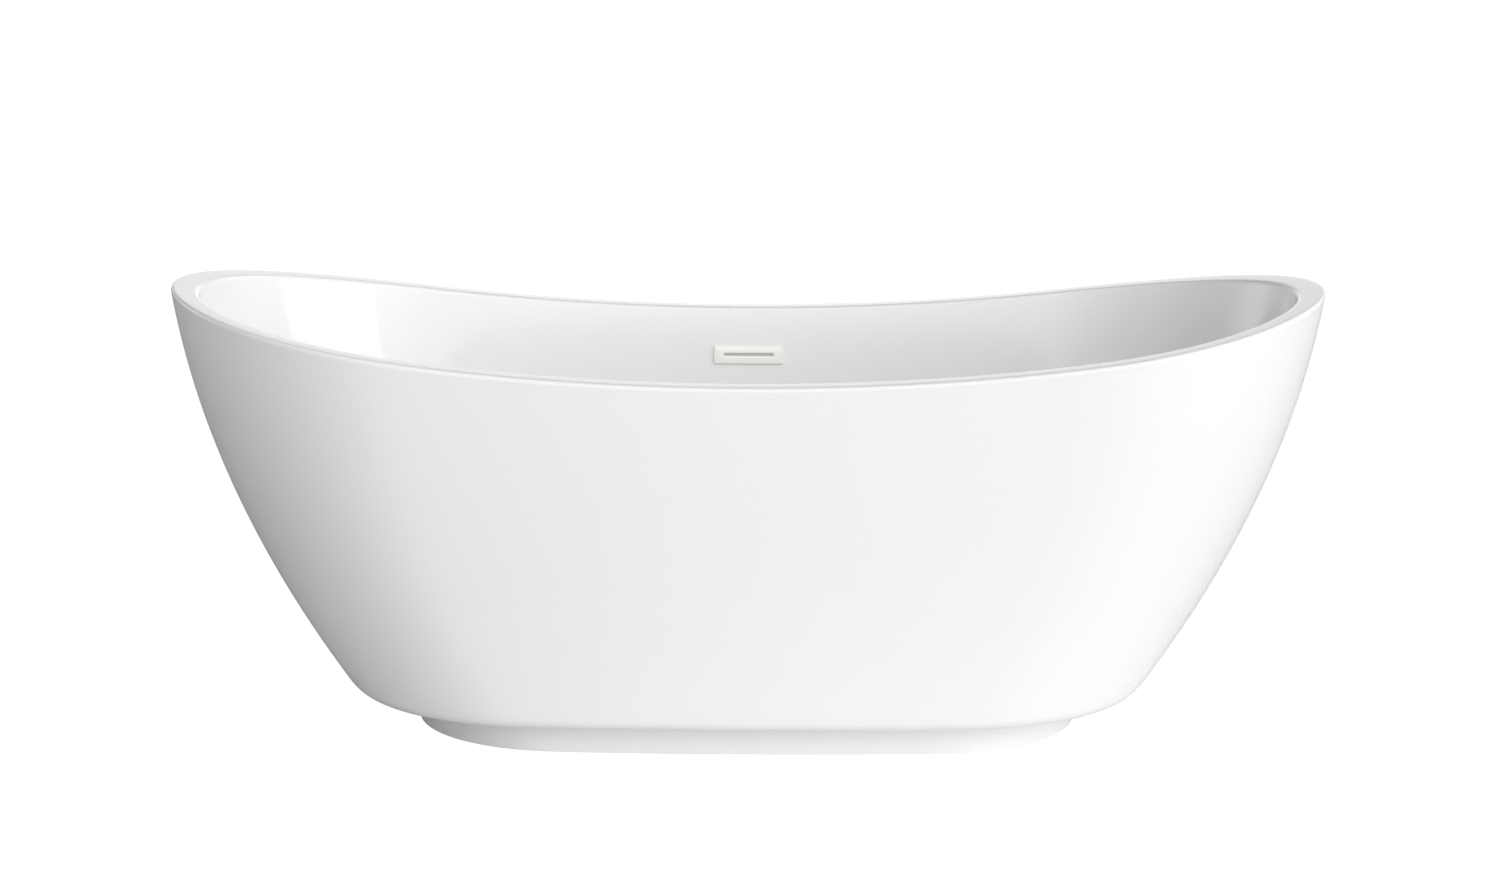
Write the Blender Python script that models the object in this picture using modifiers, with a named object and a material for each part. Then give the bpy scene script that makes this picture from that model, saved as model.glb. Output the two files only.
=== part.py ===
"""Freestanding double-ended slipper bath: acrylic basin, outer skirt and plinth on a levelled steel frame.

Metres, +Z up. X runs along the bath, -Y is its front and +Y the side with the overflow. The origin is on
the floor under the middle of the bath, so the plinth and the four foot pads stand on Z = 0.
"""

import math

import bmesh
import bpy
import numpy as np
from mathutils import Matrix, Vector

GAP = 0.0003  # air between two pieces that touch

# Bath body
HALF_LENGTH = 0.8513
HALF_WIDTH = 0.4006
RIM_END_HEIGHT = 0.6585
RIM_MIDDLE_HEIGHT = 0.5670
RIM_SWEEP = 0.927  # share of the rim's rise that follows the square of the distance from the middle
RIM_WIDTH = 0.041
SHEET = 0.005  # thickness of the acrylic
WALL_LEAN = 0.342  # share of the wall's flare that is straight; the rest is curved
OVAL_POWER = 600  # how late round the end the side turns into the flat flank
OVAL_STEPS = 2400
SEGMENTS = 56  # points round each oval

# Underside of the body and the plinth below it
BODY_BOTTOM = 0.050
BOTTOM_HALF_LENGTH = 0.588
BOTTOM_HALF_WIDTH = 0.300
BOTTOM_ROUNDING = 0.016
PLINTH_HALF_LENGTH = 0.493
PLINTH_HALF_WIDTH = 0.236
PLINTH_EDGE = 0.0015
FLANGE_WIDTH = 0.035
OPENING_HALF_LENGTH = PLINTH_HALF_LENGTH - FLANGE_WIDTH
OPENING_HALF_WIDTH = PLINTH_HALF_WIDTH - FLANGE_WIDTH

# Rim section
OUTER_ROUNDING = 0.007
INNER_ROUNDING = 0.007
ROUNDING_SHARE = 0.985
LIP_SHARE = 0.981
SEAM_SHARE = 0.0006

# Inside of the basin
FLOOR_HEIGHT = 0.1345
FLOOR_UNDERSIDE = 0.1270
WELL_HALF_LENGTH = 0.600
WELL_HALF_WIDTH = 0.262
FLOOR_HALF_LENGTH = 0.490
FLOOR_HALF_WIDTH = 0.175
FILLET_SHARE = 0.25
OVERFLOW_LOW_SHARE = 0.770  # the wall is flat between these two, behind the overflow
OVERFLOW_HIGH_SHARE = 0.895
WALL_SHARES = (FILLET_SHARE, 0.42, 0.60, OVERFLOW_LOW_SHARE, OVERFLOW_HIGH_SHARE)
DRAIN_SLOPE = 0.0025
RECESS_HEIGHT = 0.1275
RECESS_UNDERSIDE = 0.1225
RECESS_RADIUS = 0.038
RECESS_RAMP = 0.003
HOLE_RADIUS = 0.0262

# Steel frame
BOARD_THICKNESS = 0.012
BOARD_TOP = FLOOR_UNDERSIDE - GAP
BOARD_INSET = 0.020
BOARD_HOLE = 0.050
TUBE = 0.025
TUBE_WALL = 0.0025
RAIL_TOP = BOARD_TOP - BOARD_THICKNESS - GAP
RAIL_BOTTOM = RAIL_TOP - TUBE
RAIL_Y = 0.130
RAIL_HALF_LENGTH = 0.450
CROSS_X = 0.380
BRACKET_X = 0.250
BRACKET_WIDTH = 0.030
BRACKET_THICKNESS = 0.003
BRACKET_REACH = 0.240
BASE_SCREW_Y = 0.2185

SCREW_RADIUS = 0.0020
SCREW_HOLE = 0.0025
BOLT_RADIUS = 0.0030
BOLT_HOLE = 0.0035
BOLT_HEAD_RADIUS = 0.0062
BOLT_HEAD_HEIGHT = 0.0042
BOLT_LENGTH = 0.014
THROUGH = 0.010  # how far a cutter runs past what it cuts

# Levelling feet
FOOT_X = 0.330
STUD_RADIUS = 0.0058
STUD_BOTTOM = 0.0083
STUD_TOP = 0.105
STUD_CLEARANCE = 0.0068
SPANNER_LOW = 0.022
SPANNER_HIGH = 0.030
SPANNER_RADIUS = 0.0098
LOCKNUT_HEIGHT = 0.0095
LOCKNUT_RADIUS = 0.0108
LOCKNUT_BORE = 0.0063
PAD_RADIUS = 0.024
PAD_NECK_RADIUS = 0.0105
PAD_TOP = 0.0155

# Waste
SLIP_FIT = 0.0006  # play round a piece that slides or screws into another
STOPPER_LIFT = 0.009
UPPER_SEAL_RADIUS = 0.0340
FLANGE_RADIUS = 0.0345
FLANGE_TOP = 0.1326
FLANGE_THICKNESS = 0.0030
SLEEVE_RADIUS = 0.0240
SLEEVE_BORE = 0.0205
SLEEVE_BOTTOM = 0.0950
MOUTH_RADIUS = 0.0232
SPIDER_BAR = 0.0032
SPIDER_LOW = 0.1000
SPIDER_HIGH = 0.1080
SPIDER_HUB = 0.0125
CAP_RADIUS = 0.0315
PLUG_RADIUS = 0.0165
PLUG_DEPTH = 0.0034
STOPPER_SEAL_RADIUS = 0.0226
STEM_RADIUS = 0.0038
STEM_BOTTOM = -0.0380  # below the cap's underside
CARTRIDGE_RADIUS = 0.0085
CARTRIDGE_LOW = 0.0900
CARTRIDGE_HIGH = 0.1280
LOWER_SEAL_BOTTOM = 0.1188
COLLAR_RADIUS = 0.0375
COLLAR_HEIGHT = 0.0050
TEE_TOP = 0.1185
TEE_RADIUS = 0.0288
TEE_SHOULDER = 0.0640
TEE_NECK_TOP = 0.0580
TEE_NECK_RADIUS = 0.0215
TEE_BOTTOM = 0.0450
TEE_SOCKET_TOP = 0.0600
TEE_BORE_BOTTOM = 0.0660
SPIGOT_HEIGHT = 0.0705
SPIGOT_END = 0.062
SPIGOT_RADIUS = 0.0094
SPIGOT_BORE = 0.0072
TAIL_RADIUS = 0.0170
TAIL_BORE = 0.0150
TAIL_BOTTOM = 0.004
TAIL_TOP = 0.052
WASHER_TOP = 0.0447
WASHER_BOTTOM = 0.0408
SLIP_NUT_TOP = 0.0555
SLIP_NUT_SEAT = 0.0404
SLIP_NUT_BOTTOM = 0.0360
SLIP_NUT_RADIUS = 0.0270
SLIP_NUT_BORE = 0.0221

# Overflow, in its own frame on the back wall of the basin
OVERFLOW_HEIGHT = 0.492
COVER_LENGTH = 0.110
COVER_HEIGHT = 0.029
COVER_DEPTH = 0.0040
COVER_FACE = 0.0015
COVER_RIM = 0.0020
SLOT_LENGTH = 0.079
SLOT_HEIGHT = 0.0048
CUTOUT_LENGTH = 0.078
CUTOUT_HEIGHT = 0.016
OVERFLOW_SCREW_X = 0.0465
OVERFLOW_SCREW_RADIUS = 0.0018
OVERFLOW_SCREW_HOLE = 0.0023
OVERFLOW_SCREW_HOLE_END = 0.0240
HOUSING_LENGTH = 0.112
HOUSING_HEIGHT = 0.030
HOUSING_DEPTH = 0.024
HOUSING_WALL = 0.0025
GASKET_THICKNESS = 0.0025
GASKET_GAP = 0.0004
HOUSING_SPIGOT_DEPTH = 0.0205
HOUSING_SPIGOT_END = -0.036
HOSE_RADIUS = 0.0125
HOSE_WALL = 0.0020
HOSE_OVERLAP = 0.018
HOSE_LEAD = 0.012  # how far the hose runs straight out of the housing's spigot
HOSE_CLIMB = (  # the middle of the hose's route, as distances behind the drain and heights
    (0.1200, SPIGOT_HEIGHT),
    (0.1800, 0.0710),
    (0.2320, 0.0785),
    (0.2730, 0.1060),
    (0.2960, 0.1500),
    (0.3130, 0.2000),
    (0.3290, 0.2600),
    (0.3420, 0.3200),
    (0.3530, 0.3750),
)
CLAMP_WIDTH = 0.0090
CLAMP_BAND = 0.0012
CLAMP_HOUSING = 0.0065

TURN_STEPS = 20
FINE_STEPS = 28


# ---------------------------------------------------------------- scene and materials

def clear_scene():
    for obj in list(bpy.data.objects):
        bpy.data.objects.remove(obj, do_unlink=True)


def new_collection(name):
    group = bpy.data.collections.new(name)
    bpy.context.scene.collection.children.link(group)
    return group


def new_material(name, colour, roughness, metallic=0.0):
    material = bpy.data.materials.new(name)
    material.use_nodes = True
    shader = material.node_tree.nodes["Principled BSDF"]
    shader.inputs["Base Color"].default_value = (*colour, 1.0)
    shader.inputs["Roughness"].default_value = roughness
    shader.inputs["Metallic"].default_value = metallic
    return material


clear_scene()
BATH = new_collection("freestanding_bath")
CUTTERS = new_collection("cutters_and_guides")

ACRYLIC = new_material("white_acrylic", (0.90, 0.90, 0.89), 0.08)
TRIM = new_material("white_trim", (0.93, 0.92, 0.89), 0.18)
PLYWOOD = new_material("plywood", (0.62, 0.45, 0.28), 0.70)
ZINC = new_material("zinc_plated_steel", (0.62, 0.64, 0.66), 0.38, 1.0)
BLACK_STEEL = new_material("black_powder_coat", (0.05, 0.05, 0.055), 0.50)
CHROME = new_material("chrome", (0.80, 0.80, 0.82), 0.08, 1.0)
BRASS = new_material("brass", (0.72, 0.53, 0.25), 0.30, 1.0)
RUBBER = new_material("black_rubber", (0.03, 0.03, 0.03), 0.75)
PIPE = new_material("white_pipe", (0.82, 0.82, 0.80), 0.40)
GREY_PLASTIC = new_material("grey_plastic", (0.35, 0.36, 0.37), 0.45)
NYLON = new_material("black_nylon", (0.06, 0.06, 0.06), 0.50)
HOSE = new_material("grey_hose", (0.55, 0.56, 0.57), 0.45)


# ---------------------------------------------------------------- general shapes

def place(name, mesh, material, group=BATH):
    piece = bpy.data.objects.new(name, mesh)
    group.objects.link(piece)
    if material:
        mesh.materials.append(material)
    if group is CUTTERS:
        piece.hide_render = True
        piece.display_type = "WIRE"
    return piece


def mesh_of(name, shape):
    mesh = bpy.data.meshes.new(name)
    shape.to_mesh(mesh)
    shape.free()
    return mesh


def box(name, low, high, material=None, group=BATH):
    """A block from its lowest corner to its highest."""
    low, high = Vector(low), Vector(high)
    shape = bmesh.new()
    bmesh.ops.create_cube(shape, size=1.0)
    size = high - low
    bmesh.ops.scale(shape, vec=size, verts=shape.verts)
    bmesh.ops.translate(shape, vec=(low + high) / 2, verts=shape.verts)
    return place(name, mesh_of(name, shape), material, group)


def rod(name, start, end, radius, sides=TURN_STEPS, material=None, group=BATH):
    """A solid round bar from one point to another."""
    start, end = Vector(start), Vector(end)
    along = end - start
    shape = bmesh.new()
    bmesh.ops.create_cone(
        shape, cap_ends=True, segments=sides, radius1=radius, radius2=radius, depth=along.length
    )
    turn = along.to_track_quat("Z", "Y").to_matrix()
    bmesh.ops.rotate(shape, cent=(0, 0, 0), matrix=turn, verts=shape.verts)
    bmesh.ops.translate(shape, vec=(start + end) / 2, verts=shape.verts)
    piece = place(name, mesh_of(name, shape), material, group)
    piece.data.shade_smooth()
    piece.data.set_sharp_from_angle(angle=math.radians(40))
    return piece


def outline_plate(name, outline, low, high, material):
    """An outline in the YZ plane, carried along X from low to high."""
    shape = bmesh.new()
    corners = [shape.verts.new((low, y, z)) for y, z in outline]
    face = shape.faces.new(corners)
    grown = bmesh.ops.extrude_face_region(shape, geom=[face])["geom"]
    moved = [item for item in grown if isinstance(item, bmesh.types.BMVert)]
    bmesh.ops.translate(shape, vec=(high - low, 0, 0), verts=moved)
    bmesh.ops.recalc_face_normals(shape, faces=shape.faces)
    return place(name, mesh_of(name, shape), material)


def turned(name, profile, material, steps=TURN_STEPS, closed=False, group=BATH):
    """A profile of (radius, height) points, running down its outer side, turned about Z."""
    mesh = bpy.data.meshes.new(name)
    points = [(radius, 0.0, height) for radius, height in profile]
    edges = [(i, i + 1) for i in range(len(points) - 1)]
    if closed:
        edges.append((len(points) - 1, 0))
    mesh.from_pydata(points, edges, [])
    piece = place(name, mesh, material, group)
    screw = piece.modifiers.new("turn", "SCREW")
    screw.axis = "Z"
    screw.angle = math.tau
    screw.steps = steps
    screw.render_steps = steps
    screw.use_merge_vertices = True
    screw.merge_threshold = 0.0001
    screw.use_smooth_shade = True
    return piece


def ring_piece(name, inner, outer, low, high, material, steps=TURN_STEPS):
    """A plain ring with a square section."""
    profile = [(inner, high), (outer, high), (outer, low), (inner, low)]
    return turned(name, profile, material, steps, closed=True)


def combine(piece, other, operation):
    change = piece.modifiers.new(operation.lower() + "_" + other.name, "BOOLEAN")
    change.operation = operation
    change.solver = "EXACT"
    change.object = other


def cut(piece, cutter):
    combine(piece, cutter, "DIFFERENCE")


def join(piece, other):
    combine(piece, other, "UNION")


def put(piece, frame):
    """Stands a piece that was made about the origin in the given frame."""
    piece.parent = frame
    return piece


# ---------------------------------------------------------------- the bath's ovals and walls

def oval_quarter(half_length, half_width):
    """A quarter oval whose radius is r + k sin(angle)^power, the angle being that of its normal.

    Ovals whose half length and half width differ by the same amount are parallel to each other.
    """
    step = math.pi / 2 / OVAL_STEPS
    angle = (np.arange(OVAL_STEPS) + 0.5) * step
    swell = np.sin(angle) ** OVAL_POWER
    along = (swell * np.sin(angle)).sum() * step
    across = (swell * np.cos(angle)).sum() * step
    extra = (half_length - half_width) / (along - across)
    radius = half_width - extra * across + extra * swell
    x = half_length - np.append(0.0, np.cumsum(radius * np.sin(angle)) * step)
    y = np.append(0.0, np.cumsum(radius * np.cos(angle)) * step)
    travelled = np.append(0.0, np.cumsum(radius) * step)
    even = np.linspace(0.0, travelled[-1], SEGMENTS // 4 + 1)
    return np.interp(even, travelled, x), np.interp(even, travelled, y)


def oval(half_length, half_width):
    """Points all round the oval, counter-clockwise from +X."""
    x, y = oval_quarter(half_length, half_width)
    xs = np.concatenate([x[:-1], -x[:0:-1], -x[:-1], x[:0:-1]])
    ys = np.concatenate([y[:-1], y[:0:-1], -y[:-1], -y[:0:-1]])
    return xs, ys


def rim_height(x):
    share = np.minimum(np.abs(x) / HALF_LENGTH, 1.0)
    rise = RIM_SWEEP * share**2 + (1 - RIM_SWEEP) * share**4
    return RIM_MIDDLE_HEIGHT + (RIM_END_HEIGHT - RIM_MIDDLE_HEIGHT) * rise


def level_ring(half_length, half_width, height):
    """A flat oval: half length, half width, rim reach, base height and share of the rim's height."""
    return np.array([half_length, half_width, half_length, height, 0.0])


def rim_ring(inset, drop):
    """An oval parallel to the bath's edge, inset by so much and so far below the rim's surface."""
    return np.array([HALF_LENGTH - inset, HALF_WIDTH - inset, HALF_LENGTH - inset, -drop, 1.0])


def wall_ring(bottom, top, reach, base, share, outset=0.0):
    """An oval on a flared wall, share 0 being its bottom and 1 the rim."""
    flare = WALL_LEAN * share + (1 - WALL_LEAN) * (2 * share - share**2)
    half_length = bottom[0] + (top[0] - bottom[0]) * flare + outset
    half_width = bottom[1] + (top[1] - bottom[1]) * flare + outset
    return np.array([half_length, half_width, reach, base * (1 - share), share])


def outer_wall(share, outset=0.0):
    bottom = (BOTTOM_HALF_LENGTH, BOTTOM_HALF_WIDTH)
    top = (HALF_LENGTH, HALF_WIDTH)
    return wall_ring(bottom, top, HALF_LENGTH, BODY_BOTTOM, share, outset)


def inner_wall(share, outset=0.0):
    bottom = (WELL_HALF_LENGTH, WELL_HALF_WIDTH)
    top = (HALF_LENGTH - RIM_WIDTH, HALF_WIDTH - RIM_WIDTH)
    return wall_ring(bottom, top, HALF_LENGTH - RIM_WIDTH, FLOOR_HEIGHT, share, outset)


def bend(first, corner, last, steps):
    """The rings between two rings, on a parabola that leaves each towards the corner."""
    rings = []
    for i in range(1, steps):
        t = i / steps
        rings.append((1 - t) ** 2 * first + 2 * t * (1 - t) * corner + t**2 * last)
    return rings


def ring_points(ring):
    half_length, half_width, reach, base, share = ring
    xs, ys = oval(half_length, half_width)
    zs = base + share * rim_height(xs * reach / half_length)
    return np.stack([xs, ys, zs], axis=1)


def loft(name, rings, material):
    """A solid whose section is closed, so that its last ring joins its first."""
    loops = [ring_points(ring) for ring in rings]
    shape = bmesh.new()
    verts = [[shape.verts.new(point) for point in loop] for loop in loops]
    for i, here in enumerate(verts):
        there = verts[(i + 1) % len(verts)]
        for j in range(SEGMENTS):
            after = (j + 1) % SEGMENTS
            shape.faces.new((here[j], here[after], there[after], there[j]))
    bmesh.ops.recalc_face_normals(shape, faces=shape.faces)
    piece = place(name, mesh_of(name, shape), material)
    piece.data.shade_smooth()
    piece.data.set_sharp_from_angle(angle=math.radians(35))
    return piece


# ---------------------------------------------------------------- body

def make_basin():
    """Acrylic tub with the rolled rim, closed round the waste hole."""
    toe = inner_wall(FILLET_SHARE)
    step = 0.001
    corner = toe + (toe - inner_wall(FILLET_SHARE + step)) * (FILLET_SHARE / step)
    floor_edge = level_ring(FLOOR_HALF_LENGTH, FLOOR_HALF_WIDTH, FLOOR_HEIGHT)
    ramp_top = RECESS_RADIUS + RECESS_RAMP
    rings = [
        level_ring(HOLE_RADIUS, HOLE_RADIUS, RECESS_HEIGHT),
        level_ring(RECESS_RADIUS, RECESS_RADIUS, RECESS_HEIGHT),
        level_ring(ramp_top, ramp_top, FLOOR_HEIGHT - DRAIN_SLOPE),
        floor_edge,
    ]
    rings += bend(floor_edge, corner, toe, 5)
    rings += [inner_wall(share) for share in WALL_SHARES]
    inner_start = inner_wall(ROUNDING_SHARE)
    inner_end = rim_ring(RIM_WIDTH - INNER_ROUNDING, 0.0)
    rings.append(inner_start)
    rings += bend(inner_start, inner_wall(1.0), inner_end, 3)
    rings.append(inner_end)
    outer_start = rim_ring(OUTER_ROUNDING, 0.0)
    outer_end = outer_wall(ROUNDING_SHARE)
    rings.append(outer_start)
    rings += bend(outer_start, rim_ring(0.0, 0.0), outer_end, 3)
    rings.append(outer_wall(LIP_SHARE))
    rings.append(outer_wall(LIP_SHARE, -SHEET))
    rings.append(rim_ring(SHEET + 0.001, SHEET))
    rings.append(rim_ring(RIM_WIDTH - SHEET, SHEET))
    rings += [inner_wall(share, SHEET) for share in reversed(WALL_SHARES)]
    under_corner = corner + np.array([SHEET, SHEET, 0.0, FLOOR_UNDERSIDE - FLOOR_HEIGHT, 0.0])
    under_edge = level_ring(FLOOR_HALF_LENGTH, FLOOR_HALF_WIDTH, FLOOR_UNDERSIDE)
    rings += bend(inner_wall(FILLET_SHARE, SHEET), under_corner, under_edge, 4)
    cup = RECESS_RADIUS + SHEET
    rings += [
        under_edge,
        level_ring(cup + RECESS_RAMP, cup + RECESS_RAMP, FLOOR_UNDERSIDE),
        level_ring(cup, cup, RECESS_UNDERSIDE),
        level_ring(HOLE_RADIUS, HOLE_RADIUS, RECESS_UNDERSIDE),
    ]
    basin = loft("basin", rings, ACRYLIC)
    cutout = box(
        "overflow_cutout",
        (-CUTOUT_LENGTH / 2, -0.030, -CUTOUT_HEIGHT / 2),
        (CUTOUT_LENGTH / 2, 0.020, CUTOUT_HEIGHT / 2),
        group=CUTTERS,
    )
    cut(basin, put(cutout, OVERFLOW))
    for side in (-1, 1):
        x = side * OVERFLOW_SCREW_X
        hole = rod("overflow_screw_hole", (x, -0.030, 0), (x, 0.020, 0), 0.0023, 12, group=CUTTERS)
        cut(basin, put(hole, OVERFLOW))
    return basin


def make_skirt():
    """Outer shell from under the rim's lip down to an inward flange over the plinth."""
    top = LIP_SHARE - SEAM_SHARE
    shares = (top, 0.86, 0.72, 0.57, 0.42, 0.28, 0.15, 0.035)
    rings = [outer_wall(share) for share in shares]
    under = level_ring(
        BOTTOM_HALF_LENGTH - BOTTOM_ROUNDING, BOTTOM_HALF_WIDTH - BOTTOM_ROUNDING, BODY_BOTTOM
    )
    rings += bend(outer_wall(shares[-1]), outer_wall(0.0), under, 4)
    rings.append(under)
    rings.append(level_ring(OPENING_HALF_LENGTH, OPENING_HALF_WIDTH, BODY_BOTTOM))
    rings.append(level_ring(OPENING_HALF_LENGTH, OPENING_HALF_WIDTH, BODY_BOTTOM + SHEET))
    over = under + np.array([0.0, 0.0, 0.0, SHEET, 0.0])
    rings.append(over)
    inside = [outer_wall(share, -SHEET) for share in reversed(shares)]
    corner = outer_wall(0.0, -SHEET) + np.array([0.0, 0.0, 0.0, SHEET, 0.0])
    rings += bend(over, corner, inside[0], 3)
    rings += inside
    skirt = loft("outer_skirt", rings, ACRYLIC)
    drill_base_holes(skirt)
    return skirt


def make_plinth():
    """Upright band on the floor, with an inward flange that the skirt's flange is screwed to."""
    a, b = PLINTH_HALF_LENGTH, PLINTH_HALF_WIDTH
    top = BODY_BOTTOM - GAP
    edge = PLINTH_EDGE
    under_flange = top - SHEET
    rings = [
        level_ring(a, b, top),
        level_ring(a, b, edge),
        level_ring(a - edge, b - edge, 0.0),
        level_ring(a - SHEET, b - SHEET, 0.0),
        level_ring(a - SHEET, b - SHEET, under_flange),
        level_ring(OPENING_HALF_LENGTH, OPENING_HALF_WIDTH, under_flange),
        level_ring(OPENING_HALF_LENGTH, OPENING_HALF_WIDTH, top),
    ]
    plinth = loft("plinth", rings, ACRYLIC)
    drill_base_holes(plinth)
    return plinth


def base_screw_places():
    return [(sx * BRACKET_X, sy * BASE_SCREW_Y) for sx in (-1, 1) for sy in (-1, 1)]


def drill_base_holes(piece):
    for x, y in base_screw_places():
        low = (x, y, BODY_BOTTOM - SHEET - THROUGH)
        high = (x, y, BODY_BOTTOM + SHEET + THROUGH)
        cut(piece, rod("base_hole", low, high, SCREW_HOLE, 12, group=CUTTERS))


# ---------------------------------------------------------------- frame

def make_board():
    """Plywood stiffener under the basin's floor, with a clearance hole for the waste."""
    low = BOARD_TOP - BOARD_THICKNESS
    xs, ys = oval(FLOOR_HALF_LENGTH - BOARD_INSET, FLOOR_HALF_WIDTH - BOARD_INSET / 4)
    shape = bmesh.new()
    face = shape.faces.new([shape.verts.new((x, y, low)) for x, y in zip(xs, ys)])
    grown = bmesh.ops.extrude_face_region(shape, geom=[face])["geom"]
    moved = [item for item in grown if isinstance(item, bmesh.types.BMVert)]
    bmesh.ops.translate(shape, vec=(0, 0, BOARD_THICKNESS), verts=moved)
    bmesh.ops.recalc_face_normals(shape, faces=shape.faces)
    board = place("base_board", mesh_of("base_board", shape), PLYWOOD)
    start = (0, 0, low - THROUGH)
    end = (0, 0, BOARD_TOP + THROUGH)
    cut(board, rod("board_hole", start, end, BOARD_HOLE, FINE_STEPS, group=CUTTERS))
    return board


def square_tube(name, low, high, axis):
    """A square tube from corner to corner, open at both ends along its axis."""
    tube = box(name, low, high, BLACK_STEEL)
    inset = Vector((TUBE_WALL, TUBE_WALL, TUBE_WALL))
    inset[axis] = -THROUGH
    bore = box(name + "_bore", Vector(low) + inset, Vector(high) - inset, group=CUTTERS)
    cut(tube, bore)
    return tube


def make_rail(name, side):
    """Long square tube, drilled below for its two feet and outside for its two brackets."""
    y = side * RAIL_Y
    low = (-RAIL_HALF_LENGTH, y - TUBE / 2, RAIL_BOTTOM)
    high = (RAIL_HALF_LENGTH, y + TUBE / 2, RAIL_TOP)
    rail = square_tube(name, low, high, 0)
    for x in (-FOOT_X, FOOT_X):
        start = (x, y, RAIL_BOTTOM - THROUGH)
        end = (x, y, RAIL_BOTTOM + TUBE / 2)
        cut(rail, rod(name + "_foot_hole", start, end, STUD_CLEARANCE, 16, group=CUTTERS))
    outside = side * (RAIL_Y + TUBE / 2)
    for x in (-BRACKET_X, BRACKET_X):
        start = (x, outside - side * TUBE / 2, RAIL_TOP - TUBE / 2)
        end = (x, outside + side * THROUGH, RAIL_TOP - TUBE / 2)
        cut(rail, rod(name + "_bolt_hole", start, end, BOLT_HOLE, 12, group=CUTTERS))
    return rail


def make_cross_member(name, side):
    """Short square tube welded between the rails."""
    reach = RAIL_Y - TUBE / 2 - GAP
    x = side * CROSS_X
    low = (x - TUBE / 2, -reach, RAIL_BOTTOM)
    high = (x + TUBE / 2, reach, RAIL_TOP)
    return square_tube(name, low, high, 1)


def make_bracket(name, side_x, side_y):
    """Angle bracket from a rail's outer face to the skirt's flange."""
    inner = RAIL_Y + TUBE / 2 + GAP
    foot = BODY_BOTTOM + SHEET + GAP
    t = BRACKET_THICKNESS
    section = [
        (inner, RAIL_TOP),
        (inner, foot),
        (BRACKET_REACH, foot),
        (BRACKET_REACH, foot + t),
        (inner + t, foot + t),
        (inner + t, RAIL_TOP),
    ]
    x = side_x * BRACKET_X
    outline = [(side_y * y, z) for y, z in section]
    bracket = outline_plate(name, outline, x - BRACKET_WIDTH / 2, x + BRACKET_WIDTH / 2, ZINC)
    start = (x, side_y * (inner - THROUGH), RAIL_TOP - TUBE / 2)
    end = (x, side_y * (inner + THROUGH), RAIL_TOP - TUBE / 2)
    cut(bracket, rod(name + "_bolt_hole", start, end, BOLT_HOLE, 12, group=CUTTERS))
    low = (x, side_y * BASE_SCREW_Y, foot - THROUGH)
    high = (x, side_y * BASE_SCREW_Y, foot + THROUGH)
    cut(bracket, rod(name + "_screw_hole", low, high, SCREW_HOLE, 12, group=CUTTERS))
    return bracket


def make_bracket_bolt(name, side_x, side_y):
    """Hexagon-headed bolt through a bracket into its rail."""
    outer = RAIL_Y + TUBE / 2 + GAP + BRACKET_THICKNESS + GAP
    x = side_x * BRACKET_X
    z = RAIL_TOP - TUBE / 2
    seat = (x, side_y * outer, z)
    crown = (x, side_y * (outer + BOLT_HEAD_HEIGHT), z)
    tip = (x, side_y * (outer - BOLT_LENGTH), z)
    inside_head = (x, side_y * (outer + BOLT_HEAD_HEIGHT / 4), z)
    bolt = rod(name, seat, crown, BOLT_HEAD_RADIUS, 6, ZINC)
    join(bolt, rod(name + "_shank", tip, inside_head, BOLT_RADIUS, 12, group=CUTTERS))
    return bolt


def make_base_screw(name, x, y):
    """Pan-headed screw down through bracket, skirt flange and plinth flange."""
    seat = BODY_BOTTOM + SHEET + GAP + BRACKET_THICKNESS + GAP
    profile = [
        (0.0, 0.0028),
        (0.0026, 0.0024),
        (0.0044, 0.0010),
        (0.0046, 0.0),
        (SCREW_RADIUS, 0.0),
        (SCREW_RADIUS, -0.0190),
        (0.0, -0.0220),
    ]
    screw = turned(name, profile, ZINC, 12)
    screw.location = (x, y, seat)
    return screw


# ---------------------------------------------------------------- levelling feet

def make_foot(number, x, y):
    """Pad, threaded stud and locknut, each with its origin on the foot's upright axis."""
    socket = STUD_BOTTOM - GAP
    pad_profile = [
        (0.0, socket),
        (STUD_CLEARANCE, socket),
        (STUD_CLEARANCE, PAD_TOP),
        (PAD_NECK_RADIUS, PAD_TOP - 0.0005),
        (PAD_NECK_RADIUS + 0.0015, 0.0090),
        (PAD_RADIUS - 0.002, 0.0060),
        (PAD_RADIUS, 0.0040),
        (PAD_RADIUS, 0.0010),
        (PAD_RADIUS - 0.001, 0.0),
        (0.0, 0.0),
    ]
    pad = turned(f"foot_pad_{number}", pad_profile, NYLON, 16)
    stud = rod(f"foot_stud_{number}", (0, 0, STUD_BOTTOM), (0, 0, STUD_TOP), STUD_RADIUS, 16, ZINC)
    collar = rod(
        f"foot_collar_{number}", (0, 0, SPANNER_LOW), (0, 0, SPANNER_HIGH), SPANNER_RADIUS, 6, group=CUTTERS
    )
    collar.parent = stud
    join(stud, collar)
    top = RAIL_BOTTOM - GAP
    nut = rod(f"foot_locknut_{number}", (0, 0, top - LOCKNUT_HEIGHT), (0, 0, top), LOCKNUT_RADIUS, 6, ZINC)
    start = (0, 0, top - LOCKNUT_HEIGHT - THROUGH)
    bore = rod(f"foot_nut_bore_{number}", start, (0, 0, top + THROUGH), LOCKNUT_BORE, 16, group=CUTTERS)
    bore.parent = nut
    cut(nut, bore)
    for piece in (pad, stud, nut):
        piece.location = (x, y, 0.0)


# ---------------------------------------------------------------- waste

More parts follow.
